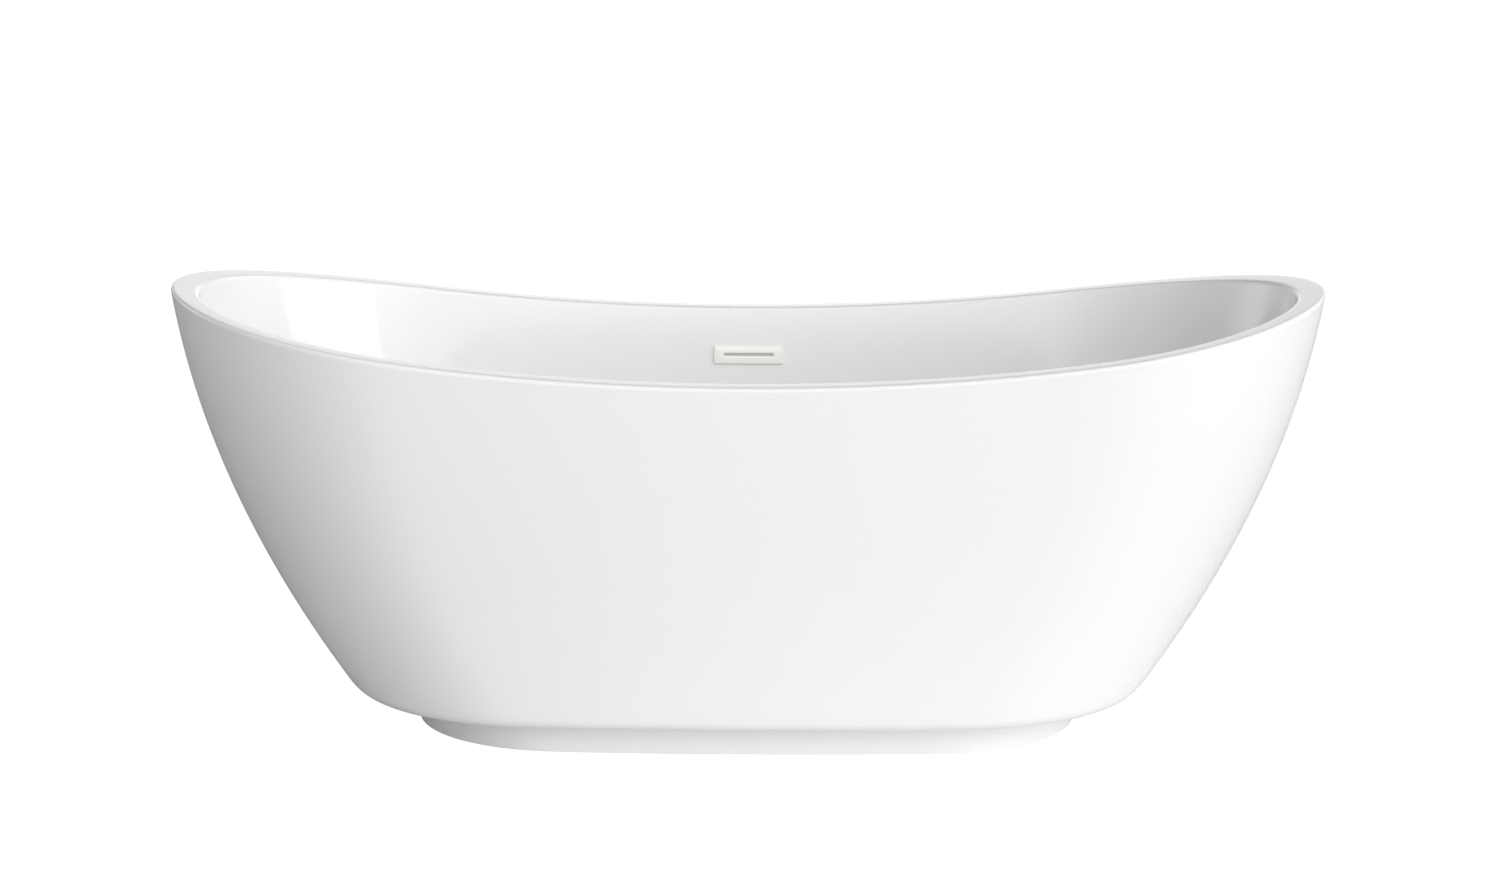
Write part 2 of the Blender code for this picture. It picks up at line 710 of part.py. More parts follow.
def make_waste():
    """Flange, seals, toe-operated stopper, drain tee and tailpiece, all about the Z axis."""
    seal_top = FLANGE_TOP - FLANGE_THICKNESS - GAP
    seal_bottom = RECESS_HEIGHT + GAP
    seal_bore = HOLE_RADIUS + SLIP_FIT
    ring_piece("waste_upper_seal", seal_bore, UPPER_SEAL_RADIUS, seal_bottom, seal_top, RUBBER)
    flange_profile = [
        (MOUTH_RADIUS, FLANGE_TOP - 0.0004),
        (MOUTH_RADIUS + 0.001, FLANGE_TOP),
        (FLANGE_RADIUS - 0.002, FLANGE_TOP),
        (FLANGE_RADIUS, FLANGE_TOP - 0.0012),
        (FLANGE_RADIUS, FLANGE_TOP - FLANGE_THICKNESS),
        (SLEEVE_RADIUS, FLANGE_TOP - FLANGE_THICKNESS),
        (SLEEVE_RADIUS, SLEEVE_BOTTOM),
        (SLEEVE_BORE, SLEEVE_BOTTOM),
        (SLEEVE_BORE, FLANGE_TOP - 0.0075),
        (MOUTH_RADIUS, FLANGE_TOP - 0.0055),
    ]
    flange = turned("waste_flange", flange_profile, CHROME, FINE_STEPS, closed=True)
    reach = (SLEEVE_BORE + SLEEVE_RADIUS) / 2
    for number, turn in enumerate((0.0, math.pi / 2)):
        bar = box(
            f"spider_bar_{number}",
            (-reach, -SPIDER_BAR / 2, SPIDER_LOW),
            (reach, SPIDER_BAR / 2, SPIDER_HIGH),
            group=CUTTERS,
        )
        bar.rotation_euler.z = turn
        join(flange, bar)
    join(flange, rod("spider_hub", (0, 0, SPIDER_LOW), (0, 0, SPIDER_HIGH), SPIDER_HUB, 16, group=CUTTERS))
    low = (0, 0, SPIDER_LOW - THROUGH)
    high = (0, 0, SPIDER_HIGH + THROUGH)
    cut(flange, rod("spider_bore", low, high, CARTRIDGE_RADIUS + SLIP_FIT, FINE_STEPS, group=CUTTERS))
    bore = STEM_RADIUS + SLIP_FIT
    ring_piece("stopper_cartridge", bore, CARTRIDGE_RADIUS, CARTRIDGE_LOW, CARTRIDGE_HIGH, BRASS, 16)
    make_stopper()
    seal_top = RECESS_UNDERSIDE - GAP
    bore = SLEEVE_RADIUS + SLIP_FIT
    ring_piece("waste_lower_seal", bore, COLLAR_RADIUS, LOWER_SEAL_BOTTOM, seal_top, RUBBER)
    make_tee()
    make_tail()


def make_stopper():
    """Cap, seal and plunger, which go down together by STOPPER_LIFT when pressed."""
    underside = FLANGE_TOP + GAP + STOPPER_LIFT
    cap_profile = [
        (0.0, 0.0048),
        (0.0120, 0.0045),
        (0.0230, 0.0035),
        (CAP_RADIUS - 0.0015, 0.0022),
        (CAP_RADIUS, 0.0010),
        (CAP_RADIUS - 0.0006, 0.0),
        (PLUG_RADIUS, 0.0),
        (PLUG_RADIUS, -PLUG_DEPTH),
        (0.0, -PLUG_DEPTH),
    ]
    cap = turned("stopper_cap", cap_profile, TRIM, FINE_STEPS)
    cap.location.z = underside
    bore = PLUG_RADIUS + GAP
    seal = ring_piece("stopper_seal", bore, STOPPER_SEAL_RADIUS, -PLUG_DEPTH, -GAP, RUBBER, FINE_STEPS)
    seal.location.z = underside
    stem_top = -PLUG_DEPTH - GAP
    stem_profile = [
        (0.0, stem_top),
        (STEM_RADIUS, stem_top),
        (STEM_RADIUS, STEM_BOTTOM),
        (0.0, STEM_BOTTOM),
    ]
    stem = turned("stopper_plunger", stem_profile, CHROME, 16)
    stem.location.z = underside


def make_tee():
    """Drain tee screwed onto the flange's sleeve, with a side spigot for the overflow hose."""
    collar_bottom = TEE_TOP - COLLAR_HEIGHT
    profile = [
        (SLEEVE_RADIUS + SLIP_FIT, TEE_TOP),
        (COLLAR_RADIUS, TEE_TOP),
        (COLLAR_RADIUS, collar_bottom),
        (TEE_RADIUS, collar_bottom - 0.0015),
        (TEE_RADIUS, TEE_SHOULDER),
        (TEE_NECK_RADIUS, TEE_NECK_TOP),
        (TEE_NECK_RADIUS, TEE_BOTTOM),
        (TAIL_RADIUS + SLIP_FIT, TEE_BOTTOM),
        (TAIL_RADIUS + SLIP_FIT, TEE_SOCKET_TOP),
        (SLEEVE_RADIUS + SLIP_FIT, TEE_BORE_BOTTOM),
    ]
    tee = turned("drain_tee", profile, GREY_PLASTIC, TURN_STEPS, closed=True)
    start = (0, (SLEEVE_RADIUS + TEE_RADIUS) / 2, SPIGOT_HEIGHT)
    join(tee, rod("tee_spigot", start, (0, SPIGOT_END, SPIGOT_HEIGHT), SPIGOT_RADIUS, 16, group=CUTTERS))
    inner = (0, SLEEVE_RADIUS - THROUGH, SPIGOT_HEIGHT)
    outer = (0, SPIGOT_END + THROUGH, SPIGOT_HEIGHT)
    cut(tee, rod("tee_bore", inner, outer, SPIGOT_BORE, 16, group=CUTTERS))
    return tee


def make_tail():
    """Tailpiece pushed into the tee, with its cone washer and slip nut."""
    tail_profile = [
        (TAIL_BORE, TAIL_TOP),
        (TAIL_RADIUS, TAIL_TOP),
        (TAIL_RADIUS, TAIL_BOTTOM),
        (TAIL_BORE, TAIL_BOTTOM),
    ]
    turned("tailpiece", tail_profile, PIPE, TURN_STEPS, closed=True)
    bore = TAIL_RADIUS + SLIP_FIT
    washer_profile = [
        (bore, WASHER_TOP),
        (TEE_NECK_RADIUS - GAP, WASHER_TOP),
        (TEE_NECK_RADIUS - 0.0015, WASHER_BOTTOM),
        (bore, WASHER_BOTTOM),
    ]
    turned("tail_washer", washer_profile, RUBBER, TURN_STEPS, closed=True)
    nut_profile = [
        (SLIP_NUT_BORE, SLIP_NUT_TOP),
        (SLIP_NUT_RADIUS - 0.0008, SLIP_NUT_TOP),
        (SLIP_NUT_RADIUS, SLIP_NUT_TOP - 0.0015),
        (SLIP_NUT_RADIUS, SLIP_NUT_BOTTOM + 0.0025),
        (SLIP_NUT_RADIUS - 0.0020, SLIP_NUT_BOTTOM),
        (bore, SLIP_NUT_BOTTOM),
        (bore, SLIP_NUT_SEAT),
        (SLIP_NUT_BORE, SLIP_NUT_SEAT),
    ]
    turned("tail_slip_nut", nut_profile, GREY_PLASTIC, TURN_STEPS, closed=True)


# ---------------------------------------------------------------- overflow

def overflow_frame():
    """An empty on the inner face of the back wall: +Z climbs the wall, +Y goes out through it."""
    low_y = inner_wall(OVERFLOW_LOW_SHARE)[1]
    high_y = inner_wall(OVERFLOW_HIGH_SHARE)[1]
    depth = RIM_MIDDLE_HEIGHT - FLOOR_HEIGHT
    low_z = FLOOR_HEIGHT + depth * OVERFLOW_LOW_SHARE
    high_z = FLOOR_HEIGHT + depth * OVERFLOW_HIGH_SHARE
    lean = (high_y - low_y) / (high_z - low_z)
    frame = bpy.data.objects.new("overflow_frame", None)
    CUTTERS.objects.link(frame)
    frame.location = (0.0, low_y + lean * (OVERFLOW_HEIGHT - low_z), OVERFLOW_HEIGHT)
    frame.rotation_euler.x = -math.atan(lean)
    frame.hide_render = True
    return frame


def frame_matrix():
    return Matrix.Translation(OVERFLOW.location) @ OVERFLOW.rotation_euler.to_matrix().to_4x4()


def make_overflow_cover():
    """Shallow tray with a slot in its face, clipped over the cut-out."""
    half_length = COVER_LENGTH / 2
    half_height = COVER_HEIGHT / 2
    front = -GAP - COVER_DEPTH
    low = (-half_length, front, -half_height)
    high = (half_length, -GAP, half_height)
    cover = box("overflow_cover", low, high, TRIM)
    soften = cover.modifiers.new("soft_edges", "BEVEL")
    soften.width = 0.0008
    soften.segments = 2
    hollow = box(
        "cover_hollow",
        (-half_length + COVER_RIM, front + COVER_FACE, -half_height + COVER_RIM),
        (half_length - COVER_RIM, THROUGH, half_height - COVER_RIM),
        group=CUTTERS,
    )
    cut(cover, put(hollow, OVERFLOW))
    slot = box(
        "cover_slot",
        (-SLOT_LENGTH / 2, front - THROUGH, -SLOT_HEIGHT / 2),
        (SLOT_LENGTH / 2, THROUGH, SLOT_HEIGHT / 2),
        group=CUTTERS,
    )
    cut(cover, put(slot, OVERFLOW))
    put(cover, OVERFLOW)


def make_overflow_back():
    """Gasket and housing behind the wall, and the two screws that clamp them."""
    wall_back = SHEET + GASKET_GAP
    length, height = HOUSING_LENGTH / 2, HOUSING_HEIGHT / 2
    gasket_back = wall_back + GASKET_THICKNESS
    gasket = box("overflow_gasket", (-length, wall_back, -height), (length, gasket_back, height), RUBBER)
    front = gasket_back + GAP
    back = front + HOUSING_DEPTH
    housing = box("overflow_housing", (-length, front, -height), (length, back, height), GREY_PLASTIC)
    soften = housing.modifiers.new("soft_edges", "BEVEL")
    soften.width = 0.0015
    soften.segments = 1
    window = box(
        "overflow_window",
        (-CUTOUT_LENGTH / 2, wall_back - THROUGH, -CUTOUT_HEIGHT / 2),
        (CUTOUT_LENGTH / 2, back - HOUSING_WALL, CUTOUT_HEIGHT / 2),
        group=CUTTERS,
    )
    put(window, OVERFLOW)
    cut(gasket, window)
    spigot_y = HOUSING_SPIGOT_DEPTH
    neck = rod(
        "housing_neck",
        (0, spigot_y, HOUSING_SPIGOT_END),
        (0, spigot_y, -height + HOUSING_WALL),
        SPIGOT_RADIUS,
        16,
        group=CUTTERS,
    )
    join(housing, put(neck, OVERFLOW))
    cut(housing, window)
    throat = rod(
        "housing_throat",
        (0, spigot_y, HOUSING_SPIGOT_END - THROUGH),
        (0, spigot_y, 0.0),
        SPIGOT_BORE,
        16,
        group=CUTTERS,
    )
    cut(housing, put(throat, OVERFLOW))
    for name, side in (("overflow_screw_left", -1), ("overflow_screw_right", 1)):
        make_overflow_screw(name, side * OVERFLOW_SCREW_X, gasket, housing)
    put(gasket, OVERFLOW)
    put(housing, OVERFLOW)


def make_overflow_screw(name, x, gasket, housing):
    """Pan-headed screw through the wall and gasket into the housing."""
    end = (x, OVERFLOW_SCREW_HOLE_END, 0)
    hole = rod(name + "_hole", (x, -THROUGH, 0), end, OVERFLOW_SCREW_HOLE, 12, group=CUTTERS)
    put(hole, OVERFLOW)
    cut(gasket, hole)
    cut(housing, hole)
    profile = [
        (0.0, 0.0018),
        (0.0030, 0.0014),
        (0.0036, 0.0),
        (OVERFLOW_SCREW_RADIUS, 0.0),
        (OVERFLOW_SCREW_RADIUS, -0.0170),
        (0.0, -0.0190),
    ]
    screw = turned(name, profile, ZINC, 12)
    screw.rotation_euler.x = math.pi / 2
    screw.location = (x, -GAP, 0.0)
    put(screw, OVERFLOW)


def hose_route():
    """The overflow hose's centre line, from the drain tee's spigot to the housing's."""
    frame = frame_matrix()
    down = [
        frame @ Vector((0, HOUSING_SPIGOT_DEPTH, HOUSING_SPIGOT_END + HOSE_OVERLAP)),
        frame @ Vector((0, HOUSING_SPIGOT_DEPTH, HOUSING_SPIGOT_END)),
        frame @ Vector((0, HOUSING_SPIGOT_DEPTH, HOUSING_SPIGOT_END - HOSE_LEAD)),
    ]
    flat = [
        Vector((0, SPIGOT_END - HOSE_OVERLAP, SPIGOT_HEIGHT)),
        Vector((0, SPIGOT_END, SPIGOT_HEIGHT)),
    ]
    climb = [Vector((0, y, z)) for y, z in HOSE_CLIMB]
    return flat + climb + down[::-1]


def smooth_through(points, pieces):
    """A smooth curve through the points: a Catmull-Rom spline, so many pieces to each span."""
    ends = [2 * points[0] - points[1]] + points + [2 * points[-1] - points[-2]]
    path = []
    for before, start, end, after in zip(ends, ends[1:], ends[2:], ends[3:]):
        for i in range(pieces):
            t = i / pieces
            pull = (end - before) * t + (2 * before - 5 * start + 4 * end - after) * t**2
            pull += (3 * start - before - 3 * end + after) * t**3
            path.append(start + pull / 2)
    path.append(points[-1])
    return path


def make_hose():
    """Hollow hose pushed over both spigots, with a clamp round each end."""
    route = smooth_through(hose_route(), 2)
    curve = bpy.data.curves.new("overflow_hose_line", "CURVE")
    curve.dimensions = "3D"
    curve.bevel_depth = HOSE_RADIUS
    curve.bevel_resolution = 3
    line = curve.splines.new("POLY")
    line.points.add(len(route) - 1)
    for point, place_at in zip(line.points, route):
        point.co = (*place_at, 1.0)
    guide = bpy.data.objects.new("overflow_hose_line", curve)
    CUTTERS.objects.link(guide)
    bpy.context.view_layer.update()
    graph = bpy.context.evaluated_depsgraph_get()
    mesh = bpy.data.meshes.new_from_object(guide.evaluated_get(graph))
    bpy.data.objects.remove(guide, do_unlink=True)
    mesh.name = "overflow_hose"
    shape = bmesh.new()
    shape.from_mesh(mesh)
    bmesh.ops.remove_doubles(shape, verts=shape.verts, dist=0.00001)
    shape.to_mesh(mesh)
    shape.free()
    hose = place("overflow_hose", mesh, HOSE)
    wall = hose.modifiers.new("wall", "SOLIDIFY")
    wall.thickness = HOSE_WALL
    wall.offset = -1.0
    hose.data.shade_smooth()
    low_end = Matrix.Translation((0, SPIGOT_END - HOSE_OVERLAP / 2, SPIGOT_HEIGHT))
    make_clamp("hose_clamp_lower", low_end @ Matrix.Rotation(-math.pi / 2, 4, "X"))
    up = Matrix.Translation((0, HOUSING_SPIGOT_DEPTH, HOUSING_SPIGOT_END + HOSE_OVERLAP / 2))
    make_clamp("hose_clamp_upper", frame_matrix() @ up)


def make_clamp(name, where):
    """Worm-drive clamp: a band with the housing of its screw at one side."""
    inner = HOSE_RADIUS + GAP
    half = CLAMP_WIDTH / 2
    clamp = ring_piece(name, inner, inner + CLAMP_BAND, -half, half, ZINC, TURN_STEPS)
    low = (inner + CLAMP_BAND / 3, -0.0055, 0.0005 - half)
    high = (inner + CLAMP_HOUSING, 0.0055, half - 0.0005)
    block = box(name + "_block", low, high, group=CUTTERS)
    join(clamp, block)
    block.parent = clamp
    clamp.matrix_world = where
    return clamp


# ---------------------------------------------------------------- assembly

def make_frame():
    make_board()
    make_rail("frame_rail_front", -1)
    make_rail("frame_rail_back", 1)
    make_cross_member("cross_member_left", -1)
    make_cross_member("cross_member_right", 1)
    for side_y, end in ((-1, "front"), (1, "back")):
        for side_x, hand in ((-1, "left"), (1, "right")):
            make_bracket(f"bracket_{end}_{hand}", side_x, side_y)
            make_bracket_bolt(f"bracket_bolt_{end}_{hand}", side_x, side_y)
            x, y = side_x * BRACKET_X, side_y * BASE_SCREW_Y
            make_base_screw(f"base_screw_{end}_{hand}", x, y)


def make_feet():
    corners = [(-1, -1), (1, -1), (1, 1), (-1, 1)]
    for number, (side_x, side_y) in enumerate(corners, start=1):
        make_foot(number, side_x * FOOT_X, side_y * RAIL_Y)


OVERFLOW = overflow_frame()
make_basin()
make_skirt()
make_plinth()
make_frame()
make_feet()
make_waste()
make_overflow_cover()
make_overflow_back()
make_hose()
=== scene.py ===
"""Looks of the freestanding bath: acrylic shells, white overflow trim, waste, hose, frame and feet.

Everything is in metres in the frame's own axes: X along the bath, -Y the front, Z up from the floor.
"""
import math

import bpy
import numpy as np
from mathutils import Matrix, Vector


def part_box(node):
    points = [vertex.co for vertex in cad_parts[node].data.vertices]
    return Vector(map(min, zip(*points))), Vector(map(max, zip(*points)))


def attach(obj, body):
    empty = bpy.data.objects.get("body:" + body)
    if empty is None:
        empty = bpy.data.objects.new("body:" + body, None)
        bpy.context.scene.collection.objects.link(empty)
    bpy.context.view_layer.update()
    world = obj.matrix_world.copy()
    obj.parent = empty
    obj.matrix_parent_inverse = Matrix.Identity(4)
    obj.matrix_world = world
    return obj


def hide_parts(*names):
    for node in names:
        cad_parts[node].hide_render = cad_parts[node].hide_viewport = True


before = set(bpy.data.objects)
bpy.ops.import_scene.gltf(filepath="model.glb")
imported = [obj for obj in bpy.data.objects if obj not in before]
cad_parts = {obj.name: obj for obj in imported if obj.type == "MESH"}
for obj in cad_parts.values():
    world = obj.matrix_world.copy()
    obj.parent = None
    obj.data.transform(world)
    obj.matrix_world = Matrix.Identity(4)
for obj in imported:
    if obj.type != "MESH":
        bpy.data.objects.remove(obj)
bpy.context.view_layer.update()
TAU = 2 * math.pi
SHARP_ANGLE = 35.0  # degrees past which an edge is shaded as a crease
CORNER_REACH = 0.45  # the most of a side that a softened corner may take up

# Body: corners of the section before they are rounded
HALF_LENGTH = 0.8513
HALF_WIDTH = 0.4006
RIM_END_HEIGHT = 0.6585
RIM_MIDDLE_HEIGHT = 0.5670
RIM_SWEEP = 0.927
RIM_WIDTH = 0.041
SHEET = 0.005
WALL_LEAN = 0.342
OVAL_POWER = 600
OVAL_STEPS = 4800
BODY_BOTTOM = 0.050
BOTTOM_HALF_LENGTH = 0.588
BOTTOM_HALF_WIDTH = 0.300
BOTTOM_ROUNDING = 0.016
PLINTH_HALF_LENGTH = 0.493
PLINTH_HALF_WIDTH = 0.236
PLINTH_EDGE = 0.0015
FLANGE_WIDTH = 0.035
OUTER_ROUNDING = 0.007
INNER_ROUNDING = 0.007
ROUNDING_SHARE = 0.985
LIP_SHARE = 0.981
SEAM_SHARE = 0.0001
UNDER_RIM_SHARE = 0.97
FOOT_SHARE = 0.035  # where the outer wall turns into its rounded foot
FLOOR_HEIGHT = 0.1345
FLOOR_UNDERSIDE = 0.1270
WELL_HALF_LENGTH = 0.600
WELL_HALF_WIDTH = 0.262
FLOOR_HALF_LENGTH = 0.490
FLOOR_HALF_WIDTH = 0.175
FILLET_SHARE = 0.25
DRAIN_SLOPE = 0.0025
RECESS_HEIGHT = 0.1275
RECESS_UNDERSIDE = 0.1225
RECESS_RADIUS = 0.038
RECESS_RAMP = 0.003
HOLE_RADIUS = 0.0262
AROUND = 384  # points round each oval

# Frame under the basin
GAP = 0.0003
BOARD_THICKNESS = 0.012
BOARD_TOP = FLOOR_UNDERSIDE - GAP
BOARD_INSET = 0.020
BOARD_HOLE = 0.050
TUBE = 0.025
TUBE_WALL = 0.0025
TUBE_CORNER = 0.003
RAIL_TOP = BOARD_TOP - BOARD_THICKNESS - GAP
RAIL_BOTTOM = RAIL_TOP - TUBE
RAIL_Y = 0.130
RAIL_HALF_LENGTH = 0.450
CROSS_X = 0.380
BRACKET_X = 0.250
BRACKET_WIDTH = 0.030
BRACKET_THICKNESS = 0.003
BRACKET_REACH = 0.240
BASE_SCREW_Y = 0.2185
BOLT_FLAT = 0.0054  # half the width across the flats
BOLT_HEAD_HEIGHT = 0.0042
BOLT_LENGTH = 0.014
STUD_HOLE = 0.0068
BOLT_HOLE = 0.0035
SCREW_HOLE = 0.0025

# Levelling feet
FOOT_X = 0.330
STUD_RADIUS = 0.0058
STUD_PITCH = 0.00175
STUD_BOTTOM = 0.0083
STUD_TOP = 0.105
PAD_RADIUS = 0.024
PAD_TOP = 0.0155
LOCKNUT_HEIGHT = 0.0095
LOCKNUT_BORE = 0.0063
LOCKNUT_FLAT = 0.0093
SPANNER_LOW = 0.022
SPANNER_HIGH = 0.030
SPANNER_FLAT = 0.0085

# Waste and stopper
FLANGE_TOP = 0.1326
FLANGE_RADIUS = 0.0345
SLEEVE_RADIUS = 0.0240
SLEEVE_BORE = 0.0205
SLEEVE_BOTTOM = 0.0950
MOUTH_RADIUS = 0.0232
STOPPER_LIFT = 0.009
CAP_RADIUS = 0.0315
CAP_UNDERSIDE = FLANGE_TOP + GAP + STOPPER_LIFT
SPIGOT_HEIGHT = 0.0705
SPIGOT_END = 0.062
SPIGOT_RADIUS = 0.0094
SPIGOT_BORE = 0.0072
UPPER_SEAL = (HOLE_RADIUS + 0.0006, 0.0340, 0.1278, FLANGE_TOP - 0.0030 - GAP)  # radii, then heights
LOWER_SEAL = (0.0246, 0.0375, 0.1188, 0.1222)

# Overflow, in its own frame on the back wall: x along the bath, y out through the wall, z up the wall
OVERFLOW_LOW_SHARE = 0.770
OVERFLOW_HIGH_SHARE = 0.895
OVERFLOW_HEIGHT = 0.492
COVER_HALF_LENGTH = 0.055
COVER_HALF_HEIGHT = 0.0145
COVER_DEPTH = 0.0040
COVER_FACE = 0.0015
COVER_RIM = 0.0020
SLOT_HALF_LENGTH = 0.0395
SLOT_HALF_HEIGHT = 0.0024
BAFFLE_HALF_LENGTH = 0.0430
BAFFLE_HALF_HEIGHT = 0.0045
BAFFLE_GAP = 0.0008
BAFFLE_THICKNESS = 0.0008

# Edges of the overflow's plate and baffle: how far in, corner radius and depth of each step
SLOT_FRONT_EDGE = ((0.0, 0.0020, 0.0004), (-0.0001, 0.0021, 0.0001), (-0.0004, 0.0024, 0.0),
                   (-0.0030, 0.0030, 0.0))
SLOT_BACK_EDGE = ((-0.0003, 0.0023, 0.0), (0.0, 0.0020, -0.0002))
COVER_FRONT_EDGE = ((0.0012, 0.0010, 0.0), (0.0005, 0.0014, 0.0001), (0.0001, 0.0017, 0.0005),
                    (0.0, 0.0018, 0.0010))
COVER_BACK_EDGE = ((0.0, 0.0018, -0.0002), (0.0002, 0.0016, 0.0))
COVER_INNER_ROUNDING = 0.0006
COVER_INNER_EDGE = ((-0.0002, 0.0008, 0.0), (0.0, COVER_INNER_ROUNDING, -0.0002))
BAFFLE_FRONT_EDGE = ((0.0002, 0.0008, 0.0), (0.0, 0.0010, 0.0002))
BAFFLE_BACK_EDGE = ((0.0, 0.0010, -0.0002), (0.0002, 0.0008, 0.0))

# Cut-out, screws, housing and hose
CUTOUT_HALF_LENGTH = 0.039
CUTOUT_ROUNDING = 0.003
CUTOUT_HALF_HEIGHT = 0.008
OVERFLOW_SCREW_X = 0.0465
OVERFLOW_SCREW_HOLE = 0.0020
HOUSING_HALF_LENGTH = 0.056
HOUSING_HALF_HEIGHT = 0.015
HOUSING_DEPTH = 0.024
GASKET_THICKNESS = 0.0025
GASKET_FRONT = SHEET + 0.0004
HOUSING_SPIGOT_DEPTH = 0.0205
HOUSING_SPIGOT_END = -0.036
HOSE_RADIUS = 0.0125
HOSE_WALL = 0.0020
HOSE_OVERLAP = 0.018
HOSE_LEAD = 0.012
HOSE_RIB_PITCH = 0.0042
HOSE_RIB_DEPTH = 0.0011
LOWER_CLAMP_Y = 0.053
UPPER_CLAMP_Z = -0.027
HOSE_CLIMB = (  # the middle of the hose's route, as distances behind the drain and heights
    (0.1200, SPIGOT_HEIGHT),
    (0.1800, 0.0710),
    (0.2320, 0.0785),
    (0.2730, 0.1060),
    (0.2960, 0.1500),
    (0.3130, 0.2000),
    (0.3290, 0.2600),
    (0.3420, 0.3200),
    (0.3530, 0.3750),
)

# Studio light: for each height above the horizon, the step of azimuth and the strength at each step
LOBE_POWER = 24
LIGHTS = (
    (3, 30, (0.68, 0.77, 0.79, 1.31, 0.72, 2.05, 0.38, 0.46, 0.60, 1.75, 1.58, 1.95)),
    (32, 30, (0.0, 1.13, 1.50, 0.23, 0.0, 0.0, 0.0, 0.32, 0.22, 2.35, 2.30, 1.00)),
    (62, 60, (0.0, 0.01, 0.0, 0.40, 0.94, 0.12)),
)
WINDOW_AZIMUTH = (-50, 2)
WINDOW_ELEVATION = (2, 28)
WINDOW_EDGE = 0.026
WINDOW_STRENGTH = 1.95
FLOOR_FADE = (-1.3, 0.3)  # where, across the floor, its colour changes from the darker painted shade to the paler
# the floor's colour at each end: painted shade, darker to the left, stands in for the bath's shadow cutting
# the light bounced up there
FLOOR_PAINTED_SHADES = (0.50, 0.93)
FLOOR_SIZE = 12.0
STUDIO_WHITE = 1.05  # what the camera sees of the floor and the surroundings

# Finishes
TRIM_IOR = 1.6
PLY_PITCH = 0.0027
TOOL_RING_PITCH = 0.0004

# Camera
LENS = 81.61
CAMERA_PLACE = (0.0239, -4.9965, 1.3566)
CAMERA_YAW = -0.0040
CAMERA_PITCH = -0.1864
CAMERA_ROLL = 0.0042


# ------------------------------------------------------------------ surfaces from grids

def grid_faces(rows, columns, close_rows, close_columns):
    """Quads between neighbouring points of a rows by columns grid, wrapping where it is closed."""
    i = np.arange(rows if close_rows else rows - 1)[:, None]
    j = np.arange(columns if close_columns else columns - 1)[None, :]
    up = (i + 1) % rows
    right = (j + 1) % columns
    quads = [i * columns + j, i * columns + right, up * columns + right, up * columns + j]
    return np.stack([np.broadcast_to(q, (len(i), j.shape[1])) for q in quads], axis=-1).reshape(-1, 4)


def outward(points, faces):
    """The faces turned so that the volume they enclose is positive."""
    a, b, c, d = (points[faces[:, k]] for k in range(4))
    volume = np.einsum("ij,ij->", a, np.cross(b, c)) + np.einsum("ij,ij->", a, np.cross(c, d))
    return faces if volume > 0 else faces[:, ::-1]


def add_mesh(name, points, quads, others=(), sharp=SHARP_ANGLE):
    """A piece from points, an array of quads and a few other faces; shading breaks at sharp degrees."""
    mesh = bpy.data.meshes.new(name)
    mesh.from_pydata(points.tolist(), [], quads.tolist() + [list(face) for face in others])
    mesh.update(calc_edges=True)
    mesh.shade_smooth()
    mesh.set_sharp_from_angle(angle=math.radians(sharp))
    piece = bpy.data.objects.new(name, mesh)
    bpy.context.scene.collection.objects.link(piece)
    return piece


def torus_grid(name, grid, sharp=SHARP_ANGLE):
    """A piece whose grid of points is closed both ways, like a ring of closed sections."""
    rows, columns = grid.shape[:2]
    points = grid.reshape(-1, 3)
    faces = outward(points, grid_faces(rows, columns, True, True))
    return add_mesh(name, points, faces, sharp=sharp)


def capped_grid(name, grid, sharp=SHARP_ANGLE):
    """A piece whose rows are closed rings: the first and last rings are closed by one flat face each."""
    rows, columns = grid.shape[:2]
    points = grid.reshape(-1, 3)
    around = np.arange(columns)
    faces = grid_faces(rows, columns, False, True)
    first, last = around[::-1], around + (rows - 1) * columns
    centre = points.mean(axis=0)
    a, b, c = (points[faces[:, k]] - centre for k in (0, 1, 2))
    if np.einsum("ij,ij->", a, np.cross(b, c)) < 0:
        faces, first, last = faces[:, ::-1], first[::-1], last[::-1]
    return add_mesh(name, points, faces, (first, last), sharp)


# ------------------------------------------------------------------ outlines and turned pieces

def softened(corners, radius, steps=3, closed=True):
    """The outline with each corner replaced by a parabola that starts and ends radius away from it."""
    corners = np.asarray(corners, float)
    count = len(corners)
    path = []
    for i, corner in enumerate(corners):
        if not closed and i in (0, count - 1):
            path.append(corner)
            continue
        before, after = corners[i - 1] - corner, corners[(i + 1) % count] - corner
        reach = min(radius, CORNER_REACH * np.linalg.norm(before), CORNER_REACH * np.linalg.norm(after))
        start = corner + before / np.linalg.norm(before) * reach
        end = corner + after / np.linalg.norm(after) * reach
        for t in np.linspace(0.0, 1.0, steps + 1):
            path.append((1 - t) ** 2 * start + 2 * t * (1 - t) * corner + t**2 * end)
    return np.array(path)


def hexagon(angle, flat):
    """The radius, at each angle, of a hexagon whose flats are flat away from its middle."""
    return flat / np.cos((angle + math.pi / 6) % (math.pi / 3) - math.pi / 6)


def hexagonal(flat):
    """A shape for spun that trims every radius to a hexagon."""
    return lambda angle, radius, height: np.minimum(radius, hexagon(angle, flat))


